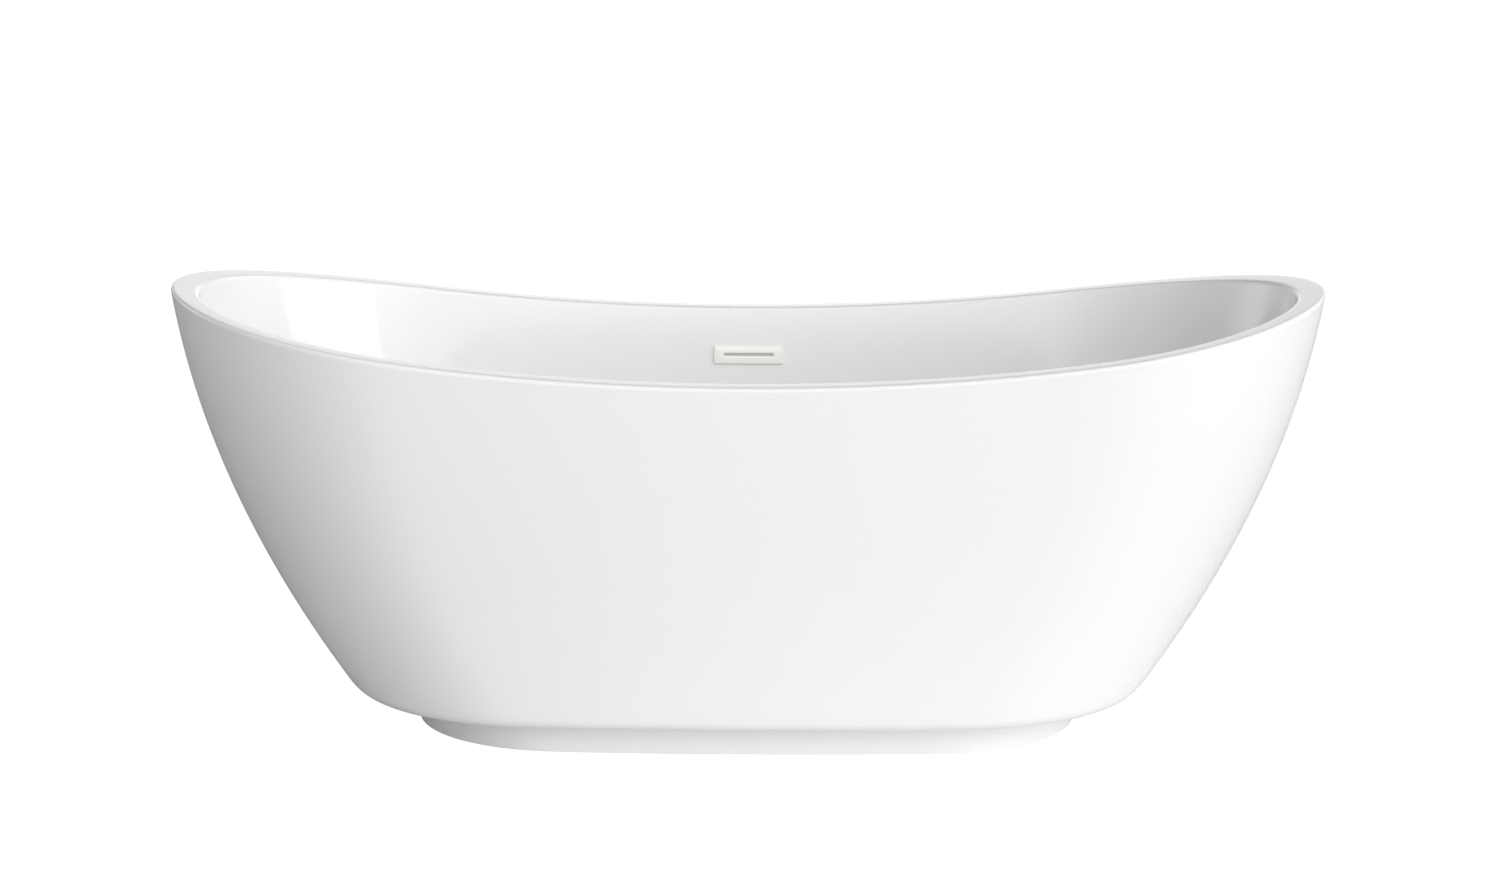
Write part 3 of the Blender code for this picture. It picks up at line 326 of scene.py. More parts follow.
def spun(name, corners, soften=0.0005, around=72, shape=None, steps=3):
    """A profile of radii and heights turned about Z; shape may change the radius by angle and height.

    A profile that starts and ends on the axis makes a solid, and any other is closed into a ring."""
    corners = np.asarray(corners, float)
    solid = corners[0, 0] == 0.0 and corners[-1, 0] == 0.0
    profile = softened(corners, soften, steps, closed=not solid)
    angle = np.arange(around) * TAU / around
    body = profile[1:-1] if solid else profile
    radius = np.repeat(body[:, :1], around, axis=1)
    height = np.repeat(body[:, 1:], around, axis=1)
    if shape is not None:
        radius = shape(np.broadcast_to(angle, radius.shape), radius, height)
    grid = np.stack([radius * np.cos(angle), radius * np.sin(angle), height], axis=-1)
    if not solid:
        return torus_grid(name, grid)
    rows = len(body)
    points = np.vstack([grid.reshape(-1, 3), [[0, 0, profile[0, 1]], [0, 0, profile[-1, 1]]]])
    quads = grid_faces(rows, around, False, True)
    here, there = np.arange(around), np.roll(np.arange(around), -1)
    base = (rows - 1) * around
    top = [(rows * around, j, i) for i, j in zip(here, there)]
    low = [(rows * around + 1, base + i, base + j) for i, j in zip(here, there)]
    others = top + low
    if profile[0, 1] > profile[-1, 1]:
        others = [face[::-1] for face in others]
    return add_mesh(name, points, outward(points, quads), others)


def moved(piece, matrix):
    """The piece with the matrix applied to its mesh, so that its object stays at the origin."""
    piece.data.transform(matrix)
    piece.data.update()
    return piece


def at(x, y, z=0.0):
    return Matrix.Translation((x, y, z))


def threaded(name, radius, pitch, low, high, depth=0.0006, around=28, per_turn=8, axis=None):
    """A threaded rod: its radius dips once a turn, along a helix, and fades to plain at its ends."""
    rows = int((high - low) / pitch * per_turn) + 1
    height = np.linspace(low, high, rows)[:, None]
    angle = (np.arange(around) * TAU / around)[None, :]
    wave = 0.5 + 0.5 * np.cos(TAU * (height - low) / pitch - angle)
    fade = np.clip(np.minimum(height - low, high - height) / pitch, 0.0, 1.0)
    lead = depth * (1 - fade)
    reach = radius - depth * wave * fade - lead
    grid = np.stack([reach * np.cos(angle), reach * np.sin(angle), height + 0 * angle], axis=-1)
    piece = capped_grid(name, grid)
    return moved(piece, axis) if axis else piece


def box_ring(half_x, half_z, radius, y, steps=5, straight=6):
    """A rounded rectangle in the plane at y: four quarter arcs joined by evenly divided sides."""
    turn = np.linspace(0.0, math.pi / 2, steps + 1)
    arc = np.stack([np.cos(turn), np.sin(turn)], axis=-1) * radius
    middle = np.array([half_x - radius, half_z - radius])
    points = []
    swing = np.array([[0.0, -1.0], [1.0, 0.0]])
    for quarter in range(4):
        turned_arc = arc @ np.linalg.matrix_power(swing, quarter).T
        signs = np.array([(1, 1), (-1, 1), (-1, -1), (1, -1)][quarter])
        points.append(turned_arc + middle * signs)
    outline = []
    for quarter in range(4):
        outline.append(points[quarter])
        start, end = points[quarter][-1], points[(quarter + 1) % 4][0]
        share = np.linspace(0.0, 1.0, straight + 1)[1:-1, None]
        outline.append(start + (end - start) * share)
    outline = np.concatenate(outline)
    return np.stack([outline[:, 0], np.full(len(outline), y), outline[:, 1]], axis=-1)


def stepped(half_x, half_z, y, edge):
    """Arguments of box_ring for each step of an edge: how far in it is, its corner radius and its depth."""
    return [(half_x - inset, half_z - inset, radius, y + depth) for inset, radius, depth in edge]


def cut_through(piece, cutter):
    """The piece with the cutter's space taken out of it."""
    carve = piece.modifiers.new("cut", "BOOLEAN")
    carve.operation = "DIFFERENCE"
    carve.solver = "EXACT"
    carve.object = cutter
    graph = bpy.context.evaluated_depsgraph_get()
    mesh = bpy.data.meshes.new_from_object(piece.evaluated_get(graph))
    piece.modifiers.clear()
    piece.data = mesh
    bpy.data.objects.remove(cutter)
    mesh.shade_smooth()
    mesh.set_sharp_from_angle(angle=math.radians(SHARP_ANGLE))
    return piece


# ------------------------------------------------------------------ the bath's ovals and walls

def oval_quarter(half_length, half_width, count):
    """A quarter oval whose radius is r + k sin(angle)^power, the angle being that of its normal."""
    step = math.pi / 2 / OVAL_STEPS
    angle = (np.arange(OVAL_STEPS) + 0.5) * step
    swell = np.sin(angle) ** OVAL_POWER
    along = (swell * np.sin(angle)).sum() * step
    across = (swell * np.cos(angle)).sum() * step
    extra = (half_length - half_width) / (along - across)
    radius = half_width - extra * across + extra * swell
    x = half_length - np.append(0.0, np.cumsum(radius * np.sin(angle)) * step)
    y = np.append(0.0, np.cumsum(radius * np.cos(angle)) * step)
    travelled = np.append(0.0, np.cumsum(radius) * step)
    even = np.linspace(0.0, travelled[-1], count // 4 + 1)
    return np.interp(even, travelled, x), np.interp(even, travelled, y)


def oval(half_length, half_width, count=AROUND):
    """Points all round the oval, evenly spaced, counter-clockwise from +X."""
    x, y = oval_quarter(half_length, half_width, count)
    xs = np.concatenate([x[:-1], -x[:0:-1], -x[:-1], x[:0:-1]])
    ys = np.concatenate([y[:-1], y[:0:-1], -y[:-1], -y[:0:-1]])
    return xs, ys


def rim_height(x):
    """The rim's height: it rises with the square of x and a little of its fourth power."""
    share = np.minimum(np.abs(x) / HALF_LENGTH, 1.0)
    rise = RIM_SWEEP * share**2 + (1 - RIM_SWEEP) * share**4
    return RIM_MIDDLE_HEIGHT + (RIM_END_HEIGHT - RIM_MIDDLE_HEIGHT) * rise


def level_ring(half_length, half_width, height):
    """A flat oval: half length, half width, rim reach, base height and share of the rim's height."""
    return np.array([half_length, half_width, half_length, height, 0.0])


def rim_ring(inset, drop):
    """An oval parallel to the bath's edge, inset by so much and so far below the rim's surface."""
    return np.array([HALF_LENGTH - inset, HALF_WIDTH - inset, HALF_LENGTH - inset, -drop, 1.0])


def wall_ring(bottom, top, reach, base, share, outset):
    """An oval on a flared wall: its flare is lean x share plus the rest x (2 share - share squared)."""
    flare = WALL_LEAN * share + (1 - WALL_LEAN) * (2 * share - share**2)
    half_length = bottom[0] + (top[0] - bottom[0]) * flare + outset
    half_width = bottom[1] + (top[1] - bottom[1]) * flare + outset
    return np.array([half_length, half_width, reach, base * (1 - share), share])


def outer_wall(share, outset=0.0):
    bottom = (BOTTOM_HALF_LENGTH, BOTTOM_HALF_WIDTH)
    return wall_ring(bottom, (HALF_LENGTH, HALF_WIDTH), HALF_LENGTH, BODY_BOTTOM, share, outset)


def inner_wall(share, outset=0.0):
    bottom = (WELL_HALF_LENGTH, WELL_HALF_WIDTH)
    top = (HALF_LENGTH - RIM_WIDTH, HALF_WIDTH - RIM_WIDTH)
    return wall_ring(bottom, top, HALF_LENGTH - RIM_WIDTH, FLOOR_HEIGHT, share, outset)


def bend(first, corner, last, steps):
    """The rings between two rings, on a parabola that leaves each towards the corner."""
    t = (np.arange(1, steps) / steps)[:, None]
    return list((1 - t) ** 2 * first + 2 * t * (1 - t) * corner + t**2 * last)


def between(first, last, steps):
    """The rings between two rings, evenly blended."""
    t = (np.arange(1, steps) / steps)[:, None]
    return list((1 - t) * first + t * last)


def ring_grid(rings):
    """Rings by points: each point's height is the ring's base plus its share of the rim's height there."""
    grid = np.empty((len(rings), AROUND, 3))
    for row, (half_length, half_width, reach, base, share) in zip(grid, rings):
        xs, ys = oval(half_length, half_width)
        row[:, 0] = xs
        row[:, 1] = ys
        row[:, 2] = base + share * rim_height(xs * reach / half_length)
    return grid


# ------------------------------------------------------------------ acrylic shells

def basin_shell():
    """The tub: a closed section lofted from the waste hole over floor, fillet, wall and rim, and back."""
    toe = inner_wall(FILLET_SHARE)
    step = 0.001
    corner = toe + (toe - inner_wall(FILLET_SHARE + step)) * (FILLET_SHARE / step)
    ramp = RECESS_RADIUS + RECESS_RAMP
    floor_low = level_ring(ramp, ramp, FLOOR_HEIGHT - DRAIN_SLOPE)
    floor_edge = level_ring(FLOOR_HALF_LENGTH, FLOOR_HALF_WIDTH, FLOOR_HEIGHT)
    recess = level_ring(RECESS_RADIUS, RECESS_RADIUS, RECESS_HEIGHT)
    rings = [level_ring(HOLE_RADIUS, HOLE_RADIUS, RECESS_HEIGHT), recess]
    rings += between(recess, floor_low, 4)
    rings += [floor_low] + between(floor_low, floor_edge, 10)
    rings += [floor_edge] + bend(floor_edge, corner, toe, 18)
    rings += [inner_wall(share) for share in np.linspace(FILLET_SHARE, ROUNDING_SHARE, 26)]
    inner_end = rim_ring(RIM_WIDTH - INNER_ROUNDING, 0.0)
    rings += bend(inner_wall(ROUNDING_SHARE), inner_wall(1.0), inner_end, 9)
    outer_start = rim_ring(OUTER_ROUNDING, 0.0)
    rings += [inner_end] + between(inner_end, outer_start, 4)
    rings += [outer_start] + bend(outer_start, rim_ring(0.0, 0.0), outer_wall(ROUNDING_SHARE), 9)
    rings += [outer_wall(ROUNDING_SHARE), outer_wall(LIP_SHARE), outer_wall(LIP_SHARE, -SHEET)]
    rings += [rim_ring(SHEET + 0.001, SHEET), rim_ring(RIM_WIDTH - SHEET, SHEET)]
    rings += [inner_wall(share, SHEET) for share in np.linspace(UNDER_RIM_SHARE, FILLET_SHARE, 12)]
    under_corner = corner + np.array([SHEET, SHEET, 0.0, FLOOR_UNDERSIDE - FLOOR_HEIGHT, 0.0])
    under_edge = level_ring(FLOOR_HALF_LENGTH, FLOOR_HALF_WIDTH, FLOOR_UNDERSIDE)
    rings += bend(inner_wall(FILLET_SHARE, SHEET), under_corner, under_edge, 8)
    cup = RECESS_RADIUS + SHEET
    rings += [
        under_edge,
        level_ring(cup + RECESS_RAMP, cup + RECESS_RAMP, FLOOR_UNDERSIDE),
        level_ring(cup, cup, RECESS_UNDERSIDE),
        level_ring(HOLE_RADIUS, HOLE_RADIUS, RECESS_UNDERSIDE),
    ]
    return torus_grid("basin_shell", ring_grid(rings))


def skirt_shell():
    """The outer shell: flared wall, rounded foot and a flange inwards over the plinth."""
    shares = np.linspace(LIP_SHARE - SEAM_SHARE, FOOT_SHARE, 40)
    wall = [outer_wall(share) for share in shares]
    under = level_ring(
        BOTTOM_HALF_LENGTH - BOTTOM_ROUNDING, BOTTOM_HALF_WIDTH - BOTTOM_ROUNDING, BODY_BOTTOM
    )
    opening = (PLINTH_HALF_LENGTH - FLANGE_WIDTH, PLINTH_HALF_WIDTH - FLANGE_WIDTH)
    rings = wall + bend(wall[-1], outer_wall(0.0), under, 12)
    rings += [under] + between(under, level_ring(*opening, BODY_BOTTOM), 5)
    rings += [level_ring(*opening, BODY_BOTTOM), level_ring(*opening, BODY_BOTTOM + SHEET)]
    lift = np.array([0.0, 0.0, 0.0, SHEET, 0.0])
    inside = [outer_wall(share, -SHEET) for share in shares[::-2]]
    rings += [under + lift] + bend(under + lift, outer_wall(0.0, -SHEET) + lift, inside[0], 6)
    rings += inside
    return torus_grid("skirt_shell", ring_grid(rings))


def plinth_band():
    """The plinth: an upright band with a softened foot and an inward flange on top."""
    a, b = PLINTH_HALF_LENGTH, PLINTH_HALF_WIDTH
    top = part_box("plinth")[1][2]
    edge = PLINTH_EDGE
    flange = (a - FLANGE_WIDTH, b - FLANGE_WIDTH)
    foot = level_ring(a - edge, b - edge, 0.0)
    side = level_ring(a, b, edge)
    rings = [level_ring(a, b, top)] + between(level_ring(a, b, top), side, 5)
    rings += [side] + bend(side, level_ring(a, b, 0.0), foot, 6)
    rings += [
        foot,
        level_ring(a - SHEET, b - SHEET, 0.0),
        level_ring(a - SHEET, b - SHEET, top - SHEET),
        level_ring(*flange, top - SHEET),
        level_ring(*flange, top),
    ]
    return torus_grid("plinth_band", ring_grid(rings))


# ------------------------------------------------------------------ overflow

def overflow_place():
    """The overflow's frame: its origin on the back wall's inner face, +Z up the wall, +Y out through it."""
    low_y = inner_wall(OVERFLOW_LOW_SHARE)[1]
    high_y = inner_wall(OVERFLOW_HIGH_SHARE)[1]
    depth = RIM_MIDDLE_HEIGHT - FLOOR_HEIGHT
    lean = (high_y - low_y) / (depth * (OVERFLOW_HIGH_SHARE - OVERFLOW_LOW_SHARE))
    low_z = FLOOR_HEIGHT + depth * OVERFLOW_LOW_SHARE
    centre = Vector((0.0, low_y + lean * (OVERFLOW_HEIGHT - low_z), OVERFLOW_HEIGHT))
    return Matrix.Translation(centre) @ Matrix.Rotation(-math.atan(lean), 4, "X")


def overflow_cutter():
    """The slot through the wall behind the cover, with rounded ends."""
    rings = [box_ring(CUTOUT_HALF_LENGTH, CUTOUT_HALF_HEIGHT, 0.004, y) for y in (-0.02, 0.02)]
    return moved(capped_grid("overflow_cutter", np.array(rings)), OVERFLOW)


def overflow_cover():
    """A slim tray with a softened face and a long slot, and a splash baffle close behind the slot."""
    length, height = COVER_HALF_LENGTH, COVER_HALF_HEIGHT
    front = -GAP - COVER_DEPTH
    slot = (SLOT_HALF_LENGTH, SLOT_HALF_HEIGHT)
    inner = (length - COVER_RIM, height - COVER_RIM)
    back = front + COVER_FACE
    rows = stepped(*slot, front, SLOT_FRONT_EDGE)
    rows += stepped(length, height, front, COVER_FRONT_EDGE)
    rows += stepped(length, height, -GAP, COVER_BACK_EDGE)
    rows += stepped(*inner, -GAP, COVER_INNER_EDGE)
    rows += [(*inner, COVER_INNER_ROUNDING, back)]
    rows += stepped(*slot, back, SLOT_BACK_EDGE)
    grid = np.array([box_ring(a, b, r, y, 6, 10) for a, b, r, y in rows])
    plate = moved(torus_grid("overflow_cover_plate", grid), OVERFLOW)
    behind = back + BAFFLE_GAP
    reach = (BAFFLE_HALF_LENGTH, BAFFLE_HALF_HEIGHT)
    rows = stepped(*reach, behind, BAFFLE_FRONT_EDGE)
    rows += stepped(*reach, behind + BAFFLE_THICKNESS, BAFFLE_BACK_EDGE)
    baffle = capped_grid("overflow_cover_baffle", np.array([box_ring(*row) for row in rows]))
    return plate, moved(baffle, OVERFLOW)


def overflow_gasket():
    """A flat rubber frame between the wall and the housing."""
    length, height = HOUSING_HALF_LENGTH, HOUSING_HALF_HEIGHT
    front, back = GASKET_FRONT, GASKET_FRONT + GASKET_THICKNESS
    window = (CUTOUT_HALF_LENGTH, CUTOUT_HALF_HEIGHT, CUTOUT_ROUNDING)
    rows = [(*window, front), (length - 0.0004, height - 0.0004, 0.005, front)]
    rows += [(length, height, 0.0054, front + 0.0005), (length, height, 0.0054, back - 0.0005)]
    rows += [(length - 0.0004, height - 0.0004, 0.005, back), (*window, back)]
    grid = np.array([box_ring(*row) for row in rows])
    return moved(torus_grid("overflow_gasket_frame", grid), OVERFLOW)


def overflow_housing():
    """A moulded box open towards the wall, with a shoulder at the back and a barbed spigot below."""
    length, height = HOUSING_HALF_LENGTH, HOUSING_HALF_HEIGHT
    front = GASKET_FRONT + GASKET_THICKNESS + GAP
    back = front + HOUSING_DEPTH
    window = (CUTOUT_HALF_LENGTH, CUTOUT_HALF_HEIGHT, CUTOUT_ROUNDING)
    rows = [(*window, back - 0.0025), (*window, front), (length - 0.0004, height - 0.0004, 0.005, front)]
    rows += [(length, height, 0.0054, front + 0.0005), (length, height, 0.0054, front + 0.0036)]
    rows += [(length - 0.0006, height - 0.0006, 0.005, front + 0.0044)]
    rows += [(length - 0.0040, height - 0.0010, 0.005, front + 0.0060)]
    rows += [(length - 0.0045, height - 0.0014, 0.005, back - 0.0030)]
    rows += [(length - 0.0055, height - 0.0024, 0.004, back - 0.0008)]
    rows += [(length - 0.0080, height - 0.0045, 0.003, back)]
    grid = np.array([box_ring(*row) for row in rows])
    shell = moved(capped_grid("overflow_housing_box", grid), OVERFLOW)
    neck = barbed_spigot("overflow_housing_spigot", -HOUSING_HALF_HEIGHT + 0.0025, HOUSING_SPIGOT_END)
    return shell, moved(neck, OVERFLOW @ at(0, HOUSING_SPIGOT_DEPTH))


def barbed_spigot(name, start, end):
    """A tube along Z from start to end whose outside has a collar and three saw-tooth barbs."""
    way = 1.0 if end > start else -1.0
    collar = SPIGOT_RADIUS + 0.0016
    outer = [(SPIGOT_BORE, start), (collar, start), (collar, start + way * 0.0022)]
    outer += [(SPIGOT_RADIUS - 0.0004, start + way * 0.0026)]
    for number in range(3, 0, -1):
        root = end - way * 0.0042 * number
        outer += [(SPIGOT_RADIUS - 0.0006, root), (SPIGOT_RADIUS + 0.0008, root + way * 0.0003)]
    outer += [(SPIGOT_RADIUS - 0.0008, end), (SPIGOT_BORE, end)]
    return spun(name, outer, 0.0002, 48, steps=2)


def overflow_screw(name, x):
    """A countersunk-looking pan head with a cross recess, on a threaded shank into the housing."""
    into_wall = OVERFLOW @ at(x, -GAP) @ Matrix.Rotation(math.pi / 2, 4, "X")
    head = moved(crossed_head(name + "_head", 0.0036, 0.0018, 0.0), into_wall)
    shank = threaded(name + "_shank", 0.0018, 0.0011, -0.0185, 0.0004, 0.0003, 20, axis=into_wall)
    return head, shank


def crossed_head(name, radius, height, seat):
    """A domed screw head; its top dips by a smooth cross-shaped recess."""
    rings = np.linspace(1.0, 0.04, 22)[:, None]
    angle = (np.arange(48) * TAU / 48)[None, :]
    x, y = rings * np.cos(angle), rings * np.sin(angle)
    dome = height * np.sqrt(np.clip(1.06 - rings**2, 0.0, 1.0))
    arms = np.minimum(np.abs(x), np.abs(y)) + 0 * rings
    reach = np.maximum(np.abs(x), np.abs(y))
    recess = np.clip((0.13 - arms) / 0.05, 0, 1) * np.clip((0.58 - reach) / 0.12, 0, 1)
    top = np.stack([x * radius, y * radius, seat + dome - recess * 0.55 * height], axis=-1)
    foot = np.stack([np.cos(angle) * radius, np.sin(angle) * radius, np.full_like(angle, seat)], axis=-1)
    return capped_grid(name, np.concatenate([foot, top]), 50.0)


def route_points():
    """The hose's centre line: out of the tee, along the floor, up behind the basin and into the housing."""
    frame_y = HOUSING_SPIGOT_DEPTH
    heights = (HOUSING_SPIGOT_END - HOSE_LEAD, HOUSING_SPIGOT_END, HOUSING_SPIGOT_END + HOSE_OVERLAP)
    rise = [OVERFLOW @ Vector((0, frame_y, z)) for z in heights]
    flat = [(0, SPIGOT_END - HOSE_OVERLAP, SPIGOT_HEIGHT), (0, SPIGOT_END, SPIGOT_HEIGHT)]
    climb = [(0, y, z) for y, z in HOSE_CLIMB]
    return np.array([tuple(point) for point in flat + climb + rise])


def smooth_path(points, step):
    """A Catmull-Rom curve through the points, resampled evenly, one point each step."""
    ends = np.vstack([2 * points[0] - points[1], points, 2 * points[-1] - points[-2]])
    t = np.linspace(0.0, 1.0, 24, endpoint=False)[:, None]
    spans = []
    for before, start, end, after in zip(ends, ends[1:], ends[2:], ends[3:]):
        pull = (end - before) * t + (2 * before - 5 * start + 4 * end - after) * t**2
        pull = pull + (3 * start - before - 3 * end + after) * t**3
        spans.append(start + pull / 2)
    fine = np.vstack(spans + [points[-1:]])
    travelled = np.append(0.0, np.cumsum(np.linalg.norm(np.diff(fine, axis=0), axis=1)))
    even = np.linspace(0.0, travelled[-1], int(travelled[-1] / step) + 1)
    return np.stack([np.interp(even, travelled, fine[:, k]) for k in range(3)], axis=-1), even


def overflow_hose():
    """A corrugated hose: a ring carried along the route, its radius waving once each rib pitch.

    The route stays in the plane x = 0, so each ring's axes are X and the path's normal in that plane."""
    path, along = smooth_path(route_points(), HOSE_RIB_PITCH / 7)
    tangent = np.gradient(path, axis=0)
    tangent /= np.linalg.norm(tangent, axis=1)[:, None]
    side = np.array([1.0, 0.0, 0.0])
    up = np.cross(side, tangent)
    angle = (np.arange(36) * TAU / 36)[None, :, None]
    direction = np.cos(angle) * side + np.sin(angle) * up[:, None, :]
    ends = np.minimum(along, along[-1] - along)
    cuff = np.clip((ends - HOSE_OVERLAP) / HOSE_RIB_PITCH, 0.0, 1.0)
    wave = 0.5 - 0.5 * np.cos(TAU * along / HOSE_RIB_PITCH)
    outer = HOSE_RADIUS - cuff * HOSE_RIB_DEPTH * wave
    inner = HOSE_RADIUS - HOSE_WALL - 0.0003
    shell = path[:, None, :] + direction * outer[:, None, None]
    back = np.append(np.arange(len(path) - 1, 0, -7), 0)
    lining = (path[:, None, :] + direction * inner)[back]
    return torus_grid("overflow_hose_ribbed", np.concatenate([shell, lining]), 60.0)


def hose_clamp(name, where):
    """A worm-drive clamp: a band, the housing of its screw and the screw with its hexagon head."""
    inner = HOSE_RADIUS + GAP
    outer = inner + 0.0009
    half = 0.0045
    strip = [(inner, -half), (outer, -half), (outer, half), (inner, half)]
    band = moved(spun(name + "_band", strip, 0.0002, 72), where)
    rows = [(0.0045, 0.0036, 0.0006, inner), (0.0050, 0.0040, 0.0010, inner + 0.0008)]
    rows += [(0.0050, 0.0040, 0.0012, inner + 0.0040), (0.0042, 0.0032, 0.0012, inner + 0.0062)]
    turn = Matrix.Rotation(-math.pi / 2, 4, "Z")
    block = moved(capped_grid(name + "_housing", np.array([box_ring(*row) for row in rows])), where @ turn)
    worm = [(0, 0.0115), (0.0026, 0.0115), (0.0030, 0.0110), (0.0030, 0.0070), (0.0024, 0.0066)]
    worm += [(0.0024, -0.0060), (0, -0.0060)]

    def shape(angle, radius, height):
        return np.minimum(radius, np.where(height > 0.0067, hexagon(angle, 0.0027), radius))

    head = spun(name + "_worm", worm, 0.0003, 48, shape)
    lie = where @ at(inner + 0.0034, 0) @ Matrix.Rotation(-math.pi / 2, 4, "X")
    return band, block, moved(head, lie)


# ------------------------------------------------------------------ waste and stopper

def waste_flange():
    """The chrome flange and its threaded sleeve, turned in one."""
    top = FLANGE_TOP
    corners = [(MOUTH_RADIUS, top - 0.0010), (MOUTH_RADIUS + 0.0012, top), (FLANGE_RADIUS - 0.0026, top)]
    corners += [(FLANGE_RADIUS, top - 0.0014), (FLANGE_RADIUS, top - 0.0030), (SLEEVE_RADIUS, top - 0.0030)]
    pitch = 0.0016
    turns = np.arange(int((top - 0.0060 - SLEEVE_BOTTOM - 0.0010) / pitch))
    for start in top - 0.0060 - turns * pitch:
        corners += [(SLEEVE_RADIUS, start), (SLEEVE_RADIUS - 0.0007, start - pitch / 2)]
    corners += [(SLEEVE_RADIUS - 0.0007, SLEEVE_BOTTOM), (SLEEVE_BORE, SLEEVE_BOTTOM)]
    corners += [(SLEEVE_BORE, top - 0.0075), (MOUTH_RADIUS, top - 0.0055)]
    return spun("waste_flange_turned", corners, 0.0004, 96, steps=2)


def waste_spider():
    """Two crossed bars and a hub inside the sleeve, which hold the stopper's cartridge."""
    reach = (SLEEVE_BORE + SLEEVE_RADIUS) / 2
    pieces = []
    for number in range(2):
        rows = [(reach, 0.0012, 0.0008, 0.1000), (reach, 0.0016, 0.0012, 0.1006)]
        rows += [(reach, 0.0016, 0.0012, 0.1074), (reach, 0.0012, 0.0008, 0.1080)]
        bar = capped_grid(f"waste_spider_bar_{number}", np.array([box_ring(*row) for row in rows]))
        lift = Matrix.Rotation(number * math.pi / 2, 4, "Z") @ Matrix.Rotation(math.pi / 2, 4, "X")
        pieces.append(moved(bar, lift))
    hub = [(0.0091, 0.1000), (0.0125, 0.1000), (0.0125, 0.1080), (0.0091, 0.1080)]
    return pieces + [spun("waste_spider_hub", hub, 0.0006, 48)]


def stopper():
    """A domed cap with a turned edge, its lip seal, and the plunger below it."""
    z = CAP_UNDERSIDE
    dome = [(0.0, 0.0048), (0.0080, 0.0047), (0.0160, 0.0042), (0.0240, 0.0034)]
    dome += [(CAP_RADIUS - 0.0012, 0.0022)]
    edge = [(CAP_RADIUS, 0.0012), (CAP_RADIUS - 0.0004, 0.0), (0.0165, 0.0)]
    edge += [(0.0165, -0.0034), (0.0, -0.0034)]
    cap = moved(spun("stopper_cap_domed", dome + edge, 0.0010, 96, steps=4), at(0, 0, z))
    lip = [(0.0168, -0.0034), (0.0206, -0.0034), (0.0226, -0.0020), (0.0226, -0.0010)]
    lip += [(0.0200, -0.0006), (0.0168, -0.0004)]
    seal = moved(spun("stopper_seal_lipped", lip, 0.0004, 72), at(0, 0, z))
    stem = [(0.0, -0.0037), (0.0038, -0.0037), (0.0038, -0.0240), (0.0030, -0.0246)]
    stem += [(0.0030, -0.0272), (0.0038, -0.0278), (0.0038, -0.0368), (0.0026, -0.0380), (0.0, -0.0380)]
    plunger = moved(spun("stopper_plunger_grooved", stem, 0.0003, 48), at(0, 0, z))
    return cap, seal, plunger


def stopper_cartridge():
    """The brass guide: a plain barrel through the spider, a groove and a knurled top."""
    corners = [(0.0044, 0.0900), (0.0078, 0.0900), (0.0085, 0.0908), (0.0085, 0.1086)]
    corners += [(0.0080, 0.1090), (0.0080, 0.1096), (0.0085, 0.1100)]
    corners += [(0.0085, 0.1180), (0.0085, 0.1270), (0.0078, 0.1280), (0.0044, 0.1280)]

    def shape(angle, radius, height):
        knurl = 0.00018 * np.abs((angle * 36 / TAU) % 1.0 - 0.5) * 2
        return np.where((height > 0.1098) & (radius > 0.0080), radius - knurl, radius)

    return spun("stopper_cartridge_turned", corners, 0.0003, 144, shape)


def seal_ring(name, inner, outer, low, high):
    """A rubber ring with a shallow groove round its outer side."""
    middle = (low + high) / 2
    rise = (high - low) / 2
    corners = [(inner, low), (outer, low), (outer, middle - rise * 0.3), (outer - 0.0006, middle)]
    corners += [(outer, middle + rise * 0.3), (outer, high), (inner, high)]
    return spun(name, corners, rise * 0.25, 96)


def drain_tee():
    """A moulded tee: collar with grip notches, barrel, threaded neck and the barbed side spigot."""
    wide, mouth, barrel, neck, socket = 0.0375, 0.0246, 0.0288, 0.0215, 0.0176
    corners = [(mouth, 0.1185), (wide, 0.1185), (wide, 0.1135), (0.0310, 0.1126)]
    corners += [(barrel, 0.1112), (barrel, 0.0640), (neck, 0.0580), (neck, 0.0560)]
    for step in range(4):
        start = 0.0552 - 0.0024 * step
        corners += [(neck, start), (neck - 0.0007, start - 0.0012)]
    corners += [(neck - 0.0007, 0.0450), (socket, 0.0450), (socket, 0.0600), (mouth, 0.0660)]

    def shape(angle, radius, height):
        notch = np.clip(np.cos(angle * 12) - 0.55, 0, 1) * 0.0032
        return np.where((radius > 0.0340) & (height > 0.1130), radius - notch, radius)

    body = spun("drain_tee_barrel", corners, 0.0005, 144, shape, steps=2)
    side = Matrix.Rotation(-math.pi / 2, 4, "X")
    spigot = barbed_spigot("drain_tee_spigot", (SLEEVE_RADIUS + barrel) / 2, SPIGOT_END)
    return body, moved(spigot, at(0, 0, SPIGOT_HEIGHT) @ side)


